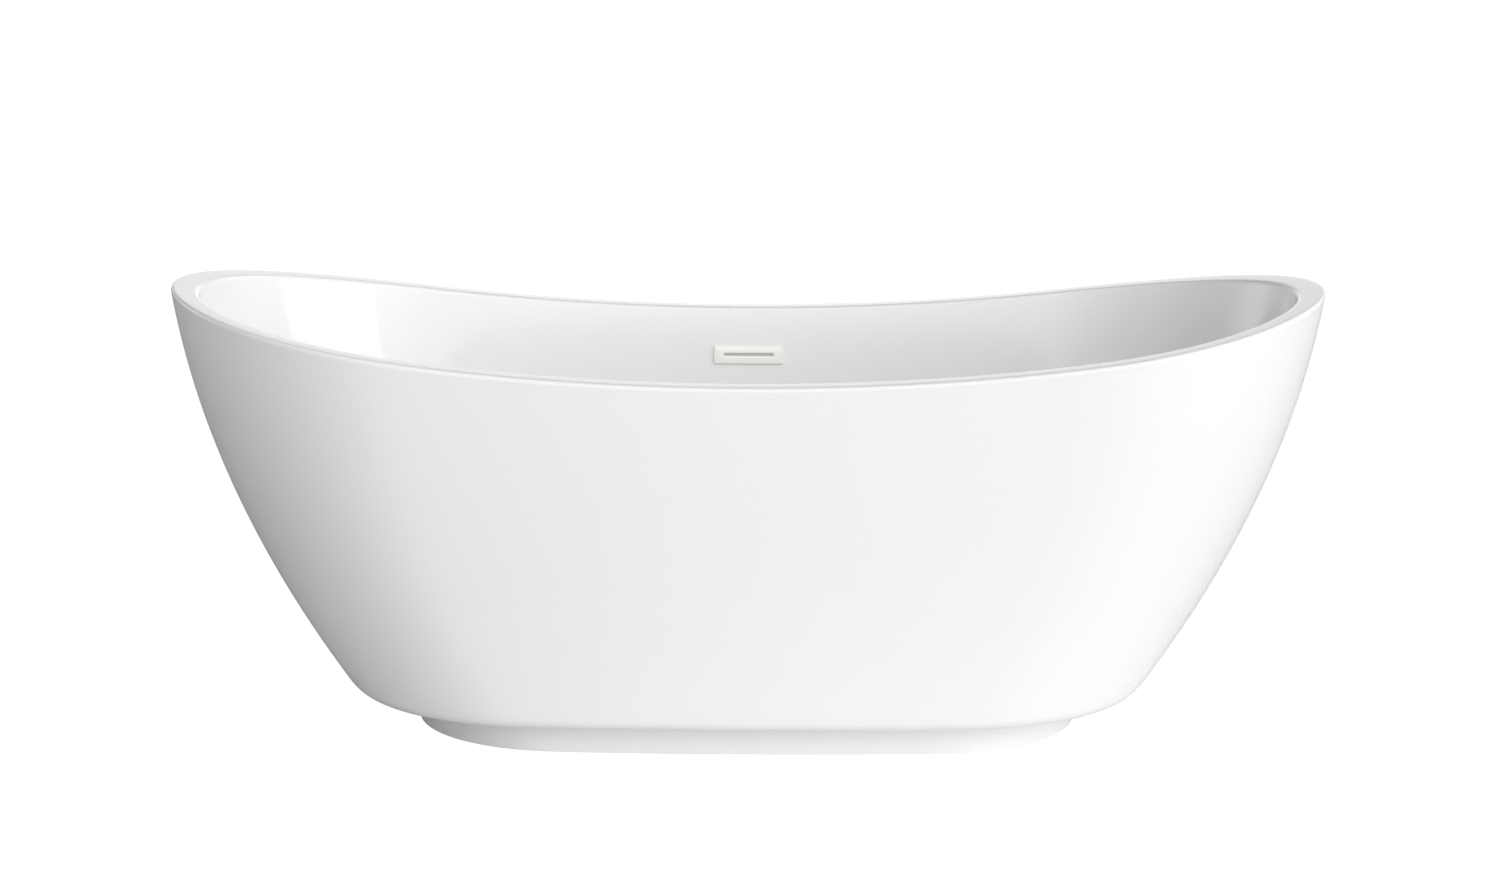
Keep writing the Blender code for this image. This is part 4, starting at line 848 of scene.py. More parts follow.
def tail_pieces():
    """The tailpiece, its cone washer and the slip nut with its grip ribs."""
    pipe = [(0.0150, 0.0520), (0.0170, 0.0520), (0.0170, 0.0040), (0.0150, 0.0040)]
    washer = [(0.0176, 0.0447), (0.0212, 0.0447), (0.0200, 0.0408), (0.0176, 0.0408)]
    nut = [(0.0221, 0.0555), (0.0262, 0.0555), (0.0270, 0.0545), (0.0270, 0.0500)]
    nut += [(0.0270, 0.0430), (0.0270, 0.0385), (0.0252, 0.0362)]
    nut += [(0.0250, 0.0360), (0.0176, 0.0360), (0.0176, 0.0404), (0.0221, 0.0404)]

    def ribs(angle, radius, height):
        rib = np.clip(0.35 - np.cos(angle * 24), 0, 1) * 0.0010
        return np.where(radius > 0.0255, radius - rib, radius)

    tube = spun("tailpiece_tube", pipe, 0.0005, 72)
    cone = spun("tail_washer_cone", washer, 0.0004, 72)
    return tube, cone, spun("tail_slip_nut_ribbed", nut, 0.0004, 192, ribs)


# ------------------------------------------------------------------ frame and feet

def square_section(half, corner, steps=4):
    """The corners of a square with rounded edges, as points round it in the plane of Y and Z."""
    ring = box_ring(half, half, corner, 0.0, steps, 3)
    return ring[:, 0], ring[:, 2]


def square_tube(name, half_length, along, middle):
    """A square tube with rounded edges, open at both ends, along axis 0 or 1 through its middle."""
    outer, inner = TUBE / 2, TUBE / 2 - TUBE_WALL
    rows = [(outer - 0.0004, TUBE_CORNER, -half_length), (outer, TUBE_CORNER, 0.0004 - half_length)]
    rows += [(outer, TUBE_CORNER, half_length - 0.0004), (outer - 0.0004, TUBE_CORNER, half_length)]
    inner_corner = TUBE_CORNER - TUBE_WALL + 0.0006
    rows += [(inner, inner_corner, half_length), (inner, inner_corner, -half_length)]
    grid = []
    for half, corner, place in rows:
        u, z = square_section(half, corner)
        line = np.full_like(u, place)
        grid.append(np.stack([line, u, z] if along == 0 else [u, line, z], axis=-1))
    return moved(torus_grid(name, np.array(grid)), at(*middle))


def drill(piece, start, direction, radius, length=0.02):
    """The piece with a round hole cut from start along the direction."""
    rings = [[radius * math.cos(a), radius * math.sin(a)] for a in np.arange(32) * TAU / 32]
    grid = np.array([[(x, y, z) for x, y in rings] for z in (0.0, length)])
    turn = Vector((0, 0, 1)).rotation_difference(Vector(direction)).to_matrix().to_4x4()
    return cut_through(piece, moved(capped_grid("drill", grid), at(*start) @ turn))


def rail(name, side):
    """A long tube, drilled for its two feet below and its two bracket bolts outside."""
    middle = (0.0, side * RAIL_Y, RAIL_TOP - TUBE / 2)
    tube = square_tube(name, RAIL_HALF_LENGTH, 0, middle)
    for hand in (-1, 1):
        drill(tube, (hand * FOOT_X, side * RAIL_Y, RAIL_BOTTOM - 0.008), (0, 0, 1), STUD_HOLE)
        drill(tube, (hand * BRACKET_X, side * RAIL_Y, middle[2]), (0, side, 0), BOLT_HOLE)
    return tube


def base_board():
    """Plywood board under the floor: an oval with softened edges and a round hole for the waste."""
    low, high = BOARD_TOP - BOARD_THICKNESS, BOARD_TOP
    a, b = FLOOR_HALF_LENGTH - BOARD_INSET, FLOOR_HALF_WIDTH - BOARD_INSET / 4
    edge = 0.0008
    rings = [level_ring(BOARD_HOLE, BOARD_HOLE, high), level_ring(a - edge, b - edge, high)]
    rings += [level_ring(a, b, high - edge), level_ring(a, b, low + edge)]
    rings += [level_ring(a - edge, b - edge, low), level_ring(BOARD_HOLE, BOARD_HOLE, low)]
    return torus_grid("base_board_ply", ring_grid(rings))


def bracket(name, side_x, side_y):
    """A bent angle: its section, with a rounded bend, drawn across its width, and its ends softened."""
    inner = RAIL_Y + TUBE / 2 + GAP
    foot = BODY_BOTTOM + SHEET + GAP
    t = BRACKET_THICKNESS
    outer = [(inner, RAIL_TOP), (inner, foot), (BRACKET_REACH, foot)]
    inside = [(BRACKET_REACH, foot + t), (inner + t, foot + t), (inner + t, RAIL_TOP)]
    outside_bend = softened(outer, t * 1.6, 8, closed=False)
    inside_bend = softened(inside, t * 0.6, 8, closed=False)
    section = np.vstack([outside_bend, inside_bend])
    half = BRACKET_WIDTH / 2
    centre = section.mean(axis=0)
    grid = []
    for x, pull in ((-half, 0.0004), (0.0004 - half, 0.0), (half - 0.0004, 0.0), (half, 0.0004)):
        shrink = section + (centre - section) * (pull / 0.04)
        grid.append(np.stack([np.full(len(section), x), side_y * shrink[:, 0], shrink[:, 1]], axis=-1))
    plate = moved(capped_grid(name, np.array(grid)), at(side_x * BRACKET_X, 0))
    bolt_z = RAIL_TOP - TUBE / 2
    drill(plate, (side_x * BRACKET_X, side_y * (inner - 0.01), bolt_z), (0, side_y, 0), BOLT_HOLE)
    drill(plate, (side_x * BRACKET_X, side_y * BASE_SCREW_Y, foot - 0.01), (0, 0, 1), SCREW_HOLE)
    return plate


def bracket_bolt(name, side_x, side_y):
    """A hexagon-headed bolt with a chamfered head and a threaded shank into the rail."""
    seat = RAIL_Y + TUBE / 2 + GAP + BRACKET_THICKNESS + GAP
    out = Matrix.Rotation(-side_y * math.pi / 2, 4, "X")
    where = at(side_x * BRACKET_X, side_y * seat, RAIL_TOP - TUBE / 2) @ out
    corner = BOLT_FLAT / math.cos(math.pi / 6)
    high = BOLT_HEAD_HEIGHT
    cone = BOLT_FLAT * 0.96
    profile = [(0.0, high), (cone, high)]
    profile += [(corner - (corner - cone) * (1 - t), high - 0.0008 * t) for t in (0.35, 0.7, 1.0)]
    profile += [(corner, 0.0), (0.0, 0.0)]
    head = spun(name + "_head", profile, 0.0001, 72, hexagonal(BOLT_FLAT))
    shank = threaded(name + "_shank", 0.0030, 0.0010, -BOLT_LENGTH, 0.0003, 0.0004, 20, axis=where)
    return moved(head, where), shank


def base_screw(name, x, y):
    """A pan-headed screw down through the bracket and both flanges, with a coarse thread."""
    seat = BODY_BOTTOM + SHEET + GAP + BRACKET_THICKNESS + GAP
    head = crossed_head(name + "_head", 0.0046, 0.0028, 0.0)
    shank = threaded(name + "_shank", 0.0020, 0.0014, -0.0215, 0.0003, 0.0004, 20, axis=at(x, y, seat))
    return moved(head, at(x, y, seat)), shank


def foot_pad(name):
    """A nylon pad: a turned foot with a socket for the stud and ten low gussets round its neck."""
    socket = STUD_BOTTOM - GAP
    corners = [(0.0, socket), (0.0066, socket), (0.0068, PAD_TOP), (0.0105, PAD_TOP)]
    corners += [(0.0110, 0.0120), (0.0118, 0.0092), (0.0160, 0.0074), (PAD_RADIUS - 0.0014, 0.0060)]
    corners += [(PAD_RADIUS, 0.0042), (PAD_RADIUS, 0.0010), (PAD_RADIUS - 0.0010, 0.0), (0.0, 0.0)]

    def gussets(angle, radius, height):
        ridge = np.clip(np.cos(angle * 10) - 0.75, 0, 1) / 0.25
        body = (height > 0.0085) & (height < PAD_TOP - 0.0008) & (radius > 0.0100)
        return np.where(body, radius + ridge * 0.0022, radius)

    return spun(name, corners, 0.0006, 120, gussets)


def foot_stud(name):
    """The stud: an M12 thread along its length, with a spanner hexagon near its foot."""
    screw = threaded(name + "_thread", STUD_RADIUS, STUD_PITCH, STUD_BOTTOM, STUD_TOP, 0.0008)
    return screw, hex_ring(name + "_hexagon", SPANNER_FLAT, STUD_RADIUS - 0.0010, SPANNER_LOW, SPANNER_HIGH)


def hex_ring(name, flat, bore, low, high):
    """A hexagon ring with its corners chamfered to a cone at both ends."""
    corner = flat / math.cos(math.pi / 6)
    cone = flat * 0.96
    rise = 0.0011
    half = [(cone + (corner - cone) * t, rise * t) for t in (0.0, 0.35, 0.7, 1.0)]
    profile = [(bore, low), *[(r, low + z) for r, z in half]]
    profile += [*[(r, high - z) for r, z in half[::-1]], (bore, high)]
    return spun(name, profile, 0.0001, 72, hexagonal(flat))


# ------------------------------------------------------------------ materials

VALUE, VECTOR, COLOUR = "NodeSocketFloat", "NodeSocketVector", "NodeSocketColor"


class Graph:
    """A node tree being drawn: node() adds a node, sets its inputs by name or place and links sockets."""

    def __init__(self, tree):
        self.tree = tree

    def node(self, kind, inputs=None, **settings):
        new = self.tree.nodes.new("ShaderNode" + kind)
        for key, value in settings.items():
            setattr(new, key, value)
        for key, value in (inputs or {}).items():
            if isinstance(value, bpy.types.NodeSocket):
                self.tree.links.new(value, new.inputs[key])
            else:
                new.inputs[key].default_value = value
        return new


def group(name, inputs, outputs, draw):
    """A shared node group: inputs as name, kind and default; draw gives the sockets for the outputs."""
    tree = bpy.data.node_groups.new(name, "ShaderNodeTree")
    for label, kind, value in inputs:
        socket = tree.interface.new_socket(label, in_out="INPUT", socket_type=kind)
        socket.default_value = value
    for label, kind in outputs:
        tree.interface.new_socket(label, in_out="OUTPUT", socket_type=kind)
    start = tree.nodes.new("NodeGroupInput")
    finish = tree.nodes.new("NodeGroupOutput")
    for label, socket in draw(Graph(tree), start.outputs).items():
        tree.links.new(socket, finish.inputs[label])
    return tree


def draw_mottle(graph, given):
    noise = graph.node("TexNoise", {"Vector": given["Vector"], "Scale": given["Scale"], "Detail": 4.0})
    spread = graph.node("MapRange", {"Value": noise.outputs["Fac"], "From Min": 0.3, "From Max": 0.7,
                                     "To Min": given["Low"], "To Max": given["High"]})
    return {"Value": spread.outputs["Result"]}


def draw_tint(graph, given):
    noise = graph.node("TexNoise", {"Vector": given["Vector"], "Scale": given["Scale"], "Detail": 5.0})
    spread = graph.node("MapRange", {"Value": noise.outputs["Fac"], "From Min": 0.3, "From Max": 0.7})
    mix = graph.node("Mix", {"Factor": spread.outputs["Result"], 6: given["Plain"], 7: given["Tinged"]},
                     data_type="RGBA")
    return {"Color": mix.outputs[2]}


def draw_relief(graph, given):
    noise = graph.node("TexNoise", {"Vector": given["Vector"], "Scale": given["Scale"], "Detail": 2.0})
    bump = graph.node("Bump", {"Height": noise.outputs["Fac"], "Strength": given["Strength"],
                               "Distance": given["Depth"]})
    return {"Normal": bump.outputs["Normal"]}


def draw_spangle(graph, given):
    cells = graph.node("TexVoronoi", {"Vector": given["Vector"], "Scale": given["Scale"]})
    grey = graph.node("RGBToBW", {"Color": cells.outputs["Color"]})
    spread = graph.node("MapRange", {"Value": grey.outputs["Val"], "To Min": given["Low"],
                                     "To Max": given["High"]})
    return {"Value": spread.outputs["Result"]}


def draw_lobe(graph, given):
    facing = graph.node("VectorMath", {0: given["Direction"], 1: given["Axis"]}, operation="DOT_PRODUCT")
    ahead = graph.node("Math", {0: facing.outputs["Value"], 1: 0.0}, operation="MAXIMUM")
    narrow = graph.node("Math", {0: ahead.outputs[0], 1: LOBE_POWER}, operation="POWER")
    total = graph.node("Math", {0: narrow.outputs[0], 1: given["Strength"], 2: given["Before"]},
                       operation="MULTIPLY_ADD")
    return {"Value": total.outputs[0]}


def draw_band(graph, given):
    edge = WINDOW_EDGE
    low = graph.node("Math", {0: given["Low"], 1: edge}, operation="SUBTRACT")
    low_end = graph.node("Math", {0: given["Low"], 1: edge}, operation="ADD")
    high = graph.node("Math", {0: given["High"], 1: edge}, operation="SUBTRACT")
    high_end = graph.node("Math", {0: given["High"], 1: edge}, operation="ADD")
    rise = graph.node("MapRange", {"Value": given["Value"], "From Min": low.outputs[0],
                                   "From Max": low_end.outputs[0]}, interpolation_type="SMOOTHSTEP")
    fall = graph.node("MapRange", {"Value": given["Value"], "From Min": high.outputs[0],
                                   "From Max": high_end.outputs[0], "To Min": 1.0, "To Max": 0.0},
                      interpolation_type="SMOOTHSTEP")
    both = graph.node("Math", {0: rise.outputs[0], 1: fall.outputs[0]}, operation="MULTIPLY")
    return {"Value": both.outputs[0]}


PLACE = ("Vector", VECTOR, (0, 0, 0))
MOTTLE = group("mottle", [PLACE, ("Scale", VALUE, 5.0), ("Low", VALUE, 0.4), ("High", VALUE, 0.6)],
               [("Value", VALUE)], draw_mottle)
TINT = group("tint", [PLACE, ("Scale", VALUE, 5.0), ("Plain", COLOUR, (1, 1, 1, 1)),
                      ("Tinged", COLOUR, (1, 1, 1, 1))], [("Color", COLOUR)], draw_tint)
RELIEF = group("relief", [PLACE, ("Scale", VALUE, 500.0), ("Strength", VALUE, 0.2),
                          ("Depth", VALUE, 0.0002)], [("Normal", VECTOR)], draw_relief)
SPANGLE = group("spangle", [PLACE, ("Scale", VALUE, 300.0), ("Low", VALUE, 0.2), ("High", VALUE, 0.4)],
                [("Value", VALUE)], draw_spangle)


def surface(name, plain, tinged, tint_scale, roughness, rough_scale, relief, metallic=0.0, coat=0.0):
    """A material: two close colours mottled, roughness between two values, and a fine relief."""
    material = bpy.data.materials.new(name)
    material.use_nodes = True
    graph = Graph(material.node_tree)
    shader = material.node_tree.nodes["Principled BSDF"]
    shader.inputs["Metallic"].default_value = metallic
    shader.inputs["Coat Weight"].default_value = coat
    place = graph.node("TexCoord").outputs["Object"]
    tint = graph.node("Group", node_tree=TINT)
    rough = graph.node("Group", node_tree=MOTTLE)
    fine = graph.node("Group", node_tree=RELIEF)
    colours = (tint_scale, (*plain, 1.0), (*tinged, 1.0))
    for new, values in ((tint, colours), (rough, (rough_scale, *roughness)), (fine, relief)):
        material.node_tree.links.new(place, new.inputs["Vector"])
        for socket, value in zip(list(new.inputs)[1:], values):
            socket.default_value = value
    material.node_tree.links.new(tint.outputs["Color"], shader.inputs["Base Color"])
    material.node_tree.links.new(rough.outputs["Value"], shader.inputs["Roughness"])
    material.node_tree.links.new(fine.outputs["Normal"], shader.inputs["Normal"])
    return material, graph, shader, place


def acrylic():
    """Polished cast acrylic: near-white, its gloss very slightly uneven, its sheet faintly wavy."""
    return surface("sanitary_acrylic", (0.902, 0.902, 0.898), (0.898, 0.899, 0.894), 2.5,
                   (0.040, 0.060), 9.0, (2.2, 0.10, 0.0010))[0]


def trim():
    """Glossy moulded trim, a little warmer than the bath."""
    material, _, shader, _ = surface("white_trim_gloss", (0.965, 0.955, 0.925), (0.955, 0.945, 0.915),
                                     14.0, (0.14, 0.20), 40.0, (600.0, 0.05, 0.0001), coat=1.0)
    shader.inputs["IOR"].default_value = TRIM_IOR
    return material


def ramp(graph, source, *stops):
    """A colour ramp driven by the source; each of its two stops is a position and a colour."""
    new = graph.node("ValToRGB", {"Fac": source})
    for element, (position, colour) in zip(new.color_ramp.elements, stops):
        element.position = position
        element.color = (*colour, 1.0)
    return new.outputs[0]


def plywood():
    """Birch plywood: long grain on the faces and thin dark and light plies round the edges."""
    material, graph, shader, place = surface("birch_plywood", (0.62, 0.45, 0.28), (0.52, 0.36, 0.21), 6.0,
                                             (0.55, 0.75), 30.0, (260.0, 0.4, 0.0003))
    stretched = graph.node("Mapping", {"Vector": place, "Scale": (2.0, 60.0, 2.0)})
    grain = graph.node("TexNoise", {"Vector": stretched.outputs[0], "Scale": 2.4, "Detail": 8.0,
                                    "Distortion": 0.6})
    face = ramp(graph, grain.outputs["Fac"], (0.32, (0.46, 0.30, 0.16)), (0.66, (0.72, 0.55, 0.36)))
    height = graph.node("SeparateXYZ", {0: place}).outputs["Z"]
    turns = graph.node("Math", {0: height, 1: TAU / PLY_PITCH}, operation="MULTIPLY")
    ply = graph.node("Math", {0: turns.outputs[0]}, operation="SINE")
    edge = ramp(graph, ply.outputs[0], (0.35, (0.34, 0.21, 0.11)), (0.55, (0.66, 0.49, 0.31)))
    normal = graph.node("NewGeometry").outputs["True Normal"]
    upright = graph.node("SeparateXYZ", {0: normal}).outputs["Z"]
    flat = graph.node("Math", {0: upright}, operation="ABSOLUTE")
    mask = graph.node("Math", {0: flat.outputs[0], 1: 0.7}, operation="GREATER_THAN")
    mix = graph.node("Mix", {"Factor": mask.outputs[0], 6: edge, 7: face}, data_type="RGBA")
    material.node_tree.links.new(mix.outputs[2], shader.inputs["Base Color"])
    return material


def spangled(made, scale, low, high):
    """The surface with its roughness changed grain by grain, between low and high."""
    material, graph, shader, place = made
    grains = graph.node("Group", node_tree=SPANGLE)
    for label, value in (("Scale", scale), ("Low", low), ("High", high)):
        grains.inputs[label].default_value = value
    material.node_tree.links.new(place, grains.inputs["Vector"])
    material.node_tree.links.new(grains.outputs["Value"], shader.inputs["Roughness"])
    return material


def powder_coat():
    """Black powder coat with its orange-peel texture."""
    return surface("black_powder_coat", (0.030, 0.030, 0.033), (0.045, 0.045, 0.048), 40.0,
                   (0.38, 0.52), 120.0, (1400.0, 0.35, 0.0004))[0]


def zinc():
    """Bright zinc plate: a spangle of small grains changes its shine and colour."""
    plate = surface("zinc_plate", (0.66, 0.67, 0.68), (0.55, 0.57, 0.60), 160.0, (0.26, 0.42), 90.0,
                    (900.0, 0.15, 0.0002), metallic=1.0)
    return spangled(plate, 420.0, 0.24, 0.46)


def brass():
    """Turned brass with faint tool rings up its height."""
    material, graph, shader, place = surface("turned_brass", (0.76, 0.56, 0.25), (0.62, 0.42, 0.17), 60.0,
                                             (0.18, 0.34), 80.0, (300.0, 0.2, 0.0002), metallic=1.0)
    height = graph.node("SeparateXYZ", {0: place}).outputs["Z"]
    turns = graph.node("Math", {0: height, 1: TAU / TOOL_RING_PITCH}, operation="MULTIPLY")
    rings = graph.node("Math", {0: turns.outputs[0]}, operation="SINE")
    bump = graph.node("Bump", {"Height": rings.outputs[0], "Strength": 0.25, "Distance": 0.00004})
    material.node_tree.links.new(bump.outputs["Normal"], shader.inputs["Normal"])
    return material


def flecked_nylon():
    """Moulded black nylon, its glass fibres showing as tiny grains of differing gloss."""
    nylon = surface("black_nylon_moulded", (0.035, 0.035, 0.036), (0.055, 0.055, 0.056), 50.0,
                    (0.42, 0.62), 200.0, (1100.0, 0.4, 0.0003))
    return spangled(nylon, 1500.0, 0.25, 0.70)


MATERIALS = {
    "white_acrylic": acrylic(),
    "white_trim": trim(),
    "plywood": plywood(),
    "black_steel": powder_coat(),
    "zinc_steel": zinc(),
    "black_nylon": flecked_nylon(),
    "brass": brass(),
    # painted shade: the white trim drawn grey, for the baffle, standing in for the shade inside the
    # overflow's slot
    "painted_shade_trim": surface("trim_painted_shade", (0.60, 0.59, 0.57), (0.56, 0.55, 0.53), 20.0, (0.40, 0.50), 60.0,
                           (500.0, 0.1, 0.0001))[0],
    "chrome": surface("polished_chrome", (0.80, 0.80, 0.82), (0.76, 0.77, 0.79), 30.0, (0.04, 0.10), 55.0,
                      (200.0, 0.03, 0.0001), metallic=1.0)[0],
    "black_rubber": surface("matt_rubber", (0.022, 0.022, 0.022), (0.038, 0.037, 0.036), 70.0, (0.62, 0.82),
                            150.0, (1700.0, 0.5, 0.0003))[0],
    "grey_plastic": surface("grey_moulding", (0.34, 0.35, 0.36), (0.30, 0.31, 0.32), 35.0, (0.36, 0.50),
                            120.0, (900.0, 0.3, 0.0003))[0],
    "white_pipe": surface("white_pipe_plastic", (0.82, 0.82, 0.80), (0.78, 0.78, 0.755), 25.0, (0.30, 0.44),
                          80.0, (500.0, 0.15, 0.0002))[0],
    "grey_hose": surface("grey_hose_plastic", (0.55, 0.56, 0.57), (0.48, 0.49, 0.50), 30.0, (0.34, 0.50),
                         90.0, (700.0, 0.25, 0.0002))[0],
}


# ------------------------------------------------------------------ stage, light and camera

def world_light():
    """Studio surroundings: wide soft lights all round, dark to the left and behind, and one large window.

    Each light is the dot product of the direction and its axis, raised to a power. What the camera sees
    directly is plain white."""
    world = bpy.data.worlds.new("studio")
    bpy.context.scene.world = world
    world.use_nodes = True
    world.node_tree.nodes.clear()
    graph = Graph(world.node_tree)
    sockets = [("Direction", VECTOR, (0, 0, 1)), ("Axis", VECTOR, (0, 0, 1)), ("Strength", VALUE, 1.0),
               ("Before", VALUE, 0.0)]
    lobe = group("soft_light", sockets, [("Value", VALUE)], draw_lobe)
    band = group("soft_band", [("Value", VALUE, 0.0), ("Low", VALUE, 0.0), ("High", VALUE, 1.0)],
                 [("Value", VALUE)], draw_band)
    direction = graph.node("TexCoord").outputs["Generated"]
    parts = graph.node("SeparateXYZ", {0: direction})
    azimuth = graph.node("Math", {0: parts.outputs["Y"], 1: parts.outputs["X"]}, operation="ARCTAN2")
    elevation = graph.node("Math", {0: parts.outputs["Z"]}, operation="ARCSINE")
    wide = graph.node("Group", node_tree=band)
    tall = graph.node("Group", node_tree=band)
    sides = ((wide, azimuth, WINDOW_AZIMUTH), (tall, elevation, WINDOW_ELEVATION))
    for window, source, (low, high) in sides:
        world.node_tree.links.new(source.outputs[0], window.inputs["Value"])
        window.inputs["Low"].default_value = math.radians(low)
        window.inputs["High"].default_value = math.radians(high)
    pane = graph.node("Math", {0: wide.outputs[0], 1: tall.outputs[0]}, operation="MULTIPLY")
    total = graph.node("Math", {0: pane.outputs[0], 1: WINDOW_STRENGTH}, operation="MULTIPLY").outputs[0]
    for height, step, strengths in LIGHTS:
        for number, strength in enumerate(strengths):
            if strength == 0:
                continue
            turn, tilt = math.radians(step * number), math.radians(height)
            new = graph.node("Group", node_tree=lobe)
            new.inputs["Axis"].default_value = (
                math.cos(tilt) * math.cos(turn), math.cos(tilt) * math.sin(turn), math.sin(tilt)
            )
            new.inputs["Strength"].default_value = strength
            world.node_tree.links.new(direction, new.inputs["Direction"])
            world.node_tree.links.new(total, new.inputs["Before"])
            total = new.outputs[0]
    cast = graph.node("Background", {"Color": (1, 1, 1, 1), "Strength": total})
    seen = graph.node("Background", {"Color": (1, 1, 1, 1), "Strength": STUDIO_WHITE})
    path = graph.node("LightPath")
    mix = graph.node("MixShader", {0: path.outputs["Is Camera Ray"], 1: cast.outputs[0], 2: seen.outputs[0]})
    graph.node("OutputWorld", {"Surface": mix.outputs[0]})


def studio_floor():
    """A pale floor that the camera sees as white and that lights the bath from below; its colour is painted
    darker to the left, as painted shade for the bath's shadow there.
    """
    mesh = bpy.data.meshes.new("studio_floor")
    size = FLOOR_SIZE
    corners = [(-size, -size, 0), (size, -size, 0), (size, size, 0), (-size, size, 0)]
    mesh.from_pydata(corners, [], [(0, 1, 2, 3)])
    floor = bpy.data.objects.new("studio_floor", mesh)
    bpy.context.scene.collection.objects.link(floor)
    material, graph, shader, place = surface("pale_floor", (0.86, 0.86, 0.86), (0.84, 0.84, 0.84), 2.0,
                                             (0.55, 0.65), 3.0, (40.0, 0.05, 0.0002))
    # painted shade: the floor's colour darkens towards the left, in place of the bath's shadow cutting the
    # light it bounces up
    across = graph.node("SeparateXYZ", {0: place}).outputs["X"]
    low, high = FLOOR_PAINTED_SHADES
    shade = graph.node("MapRange", {"Value": across, "From Min": FLOOR_FADE[0], "From Max": FLOOR_FADE[1],
                                    "To Min": low, "To Max": high}, interpolation_type="SMOOTHSTEP")
    material.node_tree.links.new(shade.outputs["Result"], shader.inputs["Base Color"])
    glow = graph.node("Emission", {"Strength": STUDIO_WHITE})
    path = graph.node("LightPath")
    seen = path.outputs["Is Camera Ray"]
    mix = graph.node("MixShader", {0: seen, 1: shader.outputs[0], 2: glow.outputs[0]})
    out = material.node_tree.nodes["Material Output"]
    material.node_tree.links.new(mix.outputs[0], out.inputs["Surface"])
    mesh.materials.append(material)


def camera():
    """A long lens in front and a little above."""
    data = bpy.data.cameras.new("camera")
    view = bpy.data.objects.new("camera", data)
    bpy.context.scene.collection.objects.link(view)
    data.sensor_fit = "HORIZONTAL"
    data.sensor_width = 36.0
    data.lens = LENS
    view.location = CAMERA_PLACE
    look = Matrix.Rotation(-CAMERA_YAW, 4, "Z") @ Matrix.Rotation(math.pi / 2 + CAMERA_PITCH, 4, "X")
    view.matrix_world = Matrix.Translation(view.location) @ look @ Matrix.Rotation(CAMERA_ROLL, 4, "Z")
    bpy.context.scene.camera = view


# ------------------------------------------------------------------ assembly

def fit(pieces, node, slot, body="bath", look=None):
    """The pieces take the node's place: they get its material, or another look, and ride on its body."""
    for piece in pieces if isinstance(pieces, (tuple, list)) else (pieces,):
        piece.data.materials.clear()
        piece.data.materials.append(MATERIALS[look or slot])
        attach(piece, body)
        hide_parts(node)


OVERFLOW = overflow_place()
world_light()
studio_floor()
camera()
bpy.context.scene.view_settings.view_transform = "Standard"

# Shells
tub = cut_through(basin_shell(), overflow_cutter())
out_of_wall = OVERFLOW.to_3x3() @ Vector((0, 1, 0))
for hand in (-1, 1):
    drill(tub, OVERFLOW @ Vector((hand * OVERFLOW_SCREW_X, -0.01, 0)), out_of_wall, OVERFLOW_SCREW_HOLE)
fit(tub, "basin", "white_acrylic")
fit(skirt_shell(), "outer_skirt", "white_acrylic")
fit(plinth_band(), "plinth", "white_acrylic")

# Frame
fit(base_board(), "base_board", "plywood")
for side_y, place in ((-1, "front"), (1, "back")):
    fit(rail(f"frame_rail_{place}_tube", side_y), f"frame_rail_{place}", "black_steel")
    for side_x, hand in ((-1, "left"), (1, "right")):
        ending = f"{place}_{hand}"
        fit(bracket(f"bracket_{ending}_plate", side_x, side_y), f"bracket_{ending}", "zinc_steel")
        bolt = bracket_bolt(f"bracket_bolt_{ending}_set", side_x, side_y)
        fit(bolt, f"bracket_bolt_{ending}", "zinc_steel")
        screw = base_screw(f"base_screw_{ending}_set", side_x * BRACKET_X, side_y * BASE_SCREW_Y)
        fit(screw, f"base_screw_{ending}", "zinc_steel")
for side_x, hand in ((-1, "left"), (1, "right")):
    middle = (side_x * CROSS_X, 0.0, RAIL_TOP - TUBE / 2)
    member = square_tube(f"cross_member_{hand}_tube", RAIL_Y - TUBE / 2 - GAP, 1, middle)
    fit(member, f"cross_member_{hand}", "black_steel")

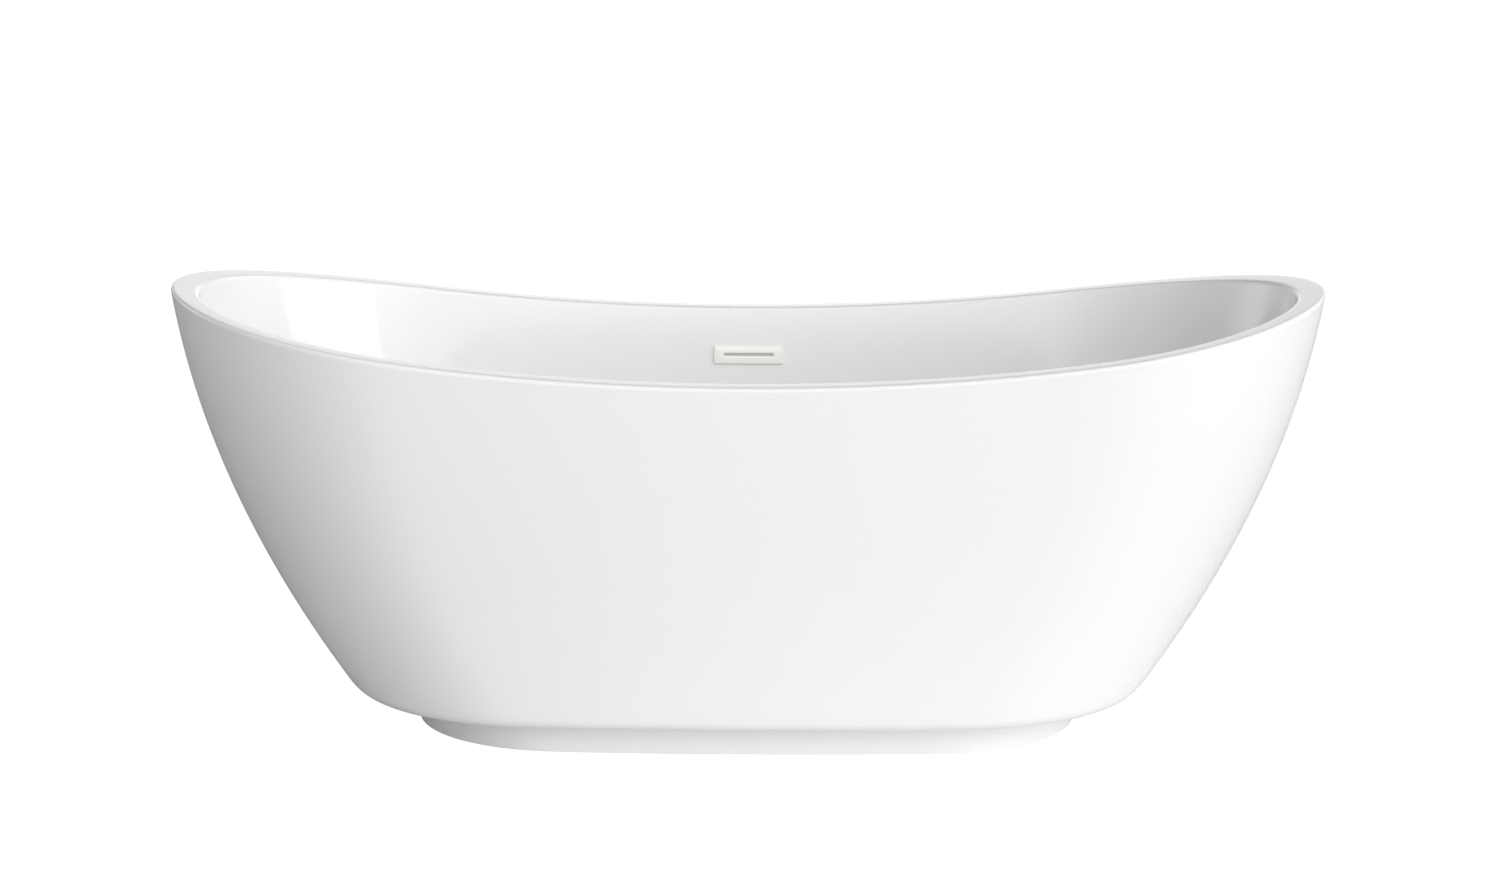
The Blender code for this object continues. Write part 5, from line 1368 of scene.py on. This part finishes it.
# Feet
for number, (side_x, side_y) in enumerate(((-1, -1), (1, -1), (1, 1), (-1, 1)), 1):
    where = at(side_x * FOOT_X, side_y * RAIL_Y)
    pad = moved(foot_pad(f"foot_pad_{number}_moulding"), where)
    stud = [moved(piece, where) for piece in foot_stud(f"foot_stud_{number}_screw")]
    nut = hex_ring(f"foot_locknut_{number}_hex", LOCKNUT_FLAT, LOCKNUT_BORE,
                   RAIL_BOTTOM - GAP - LOCKNUT_HEIGHT, RAIL_BOTTOM - GAP)
    fit(pad, f"foot_pad_{number}", "black_nylon", f"foot_{number}")
    fit(stud, f"foot_stud_{number}", "zinc_steel", f"stud_{number}")
    fit(moved(nut, where), f"foot_locknut_{number}", "zinc_steel")

# Waste
fit([waste_flange(), *waste_spider()], "waste_flange", "chrome")
fit(seal_ring("waste_upper_seal_ring", *UPPER_SEAL), "waste_upper_seal", "black_rubber")
fit(seal_ring("waste_lower_seal_ring", *LOWER_SEAL), "waste_lower_seal", "black_rubber")
fit(stopper_cartridge(), "stopper_cartridge", "brass")
cap, lip, plunger = stopper()
fit(cap, "stopper_cap", "white_trim", "stopper")
fit(lip, "stopper_seal", "black_rubber", "stopper")
fit(plunger, "stopper_plunger", "chrome", "stopper")
fit(drain_tee(), "drain_tee", "grey_plastic")
pipe, cone, nut = tail_pieces()
fit(pipe, "tailpiece", "white_pipe")
fit(cone, "tail_washer", "black_rubber")
fit(nut, "tail_slip_nut", "grey_plastic")

# Overflow
cover, baffle = overflow_cover()
fit(cover, "overflow_cover", "white_trim")
# the baffle is white trim in a grey copy: painted shade inside the slot
fit(baffle, "overflow_cover", "white_trim", look="painted_shade_trim")
fit(overflow_gasket(), "overflow_gasket", "black_rubber")
fit(overflow_housing(), "overflow_housing", "grey_plastic")
for side, hand in ((-1, "left"), (1, "right")):
    screw = overflow_screw(f"overflow_screw_{hand}_set", side * OVERFLOW_SCREW_X)
    fit(screw, f"overflow_screw_{hand}", "zinc_steel")
fit(overflow_hose(), "overflow_hose", "grey_hose")
low_clamp = at(0, LOWER_CLAMP_Y, SPIGOT_HEIGHT) @ Matrix.Rotation(-math.pi / 2, 4, "X")
fit(hose_clamp("hose_clamp_lower_band", low_clamp), "hose_clamp_lower", "zinc_steel")
high_clamp = OVERFLOW @ at(0, HOUSING_SPIGOT_DEPTH, UPPER_CLAMP_Z)
fit(hose_clamp("hose_clamp_upper_band", high_clamp), "hose_clamp_upper", "zinc_steel")
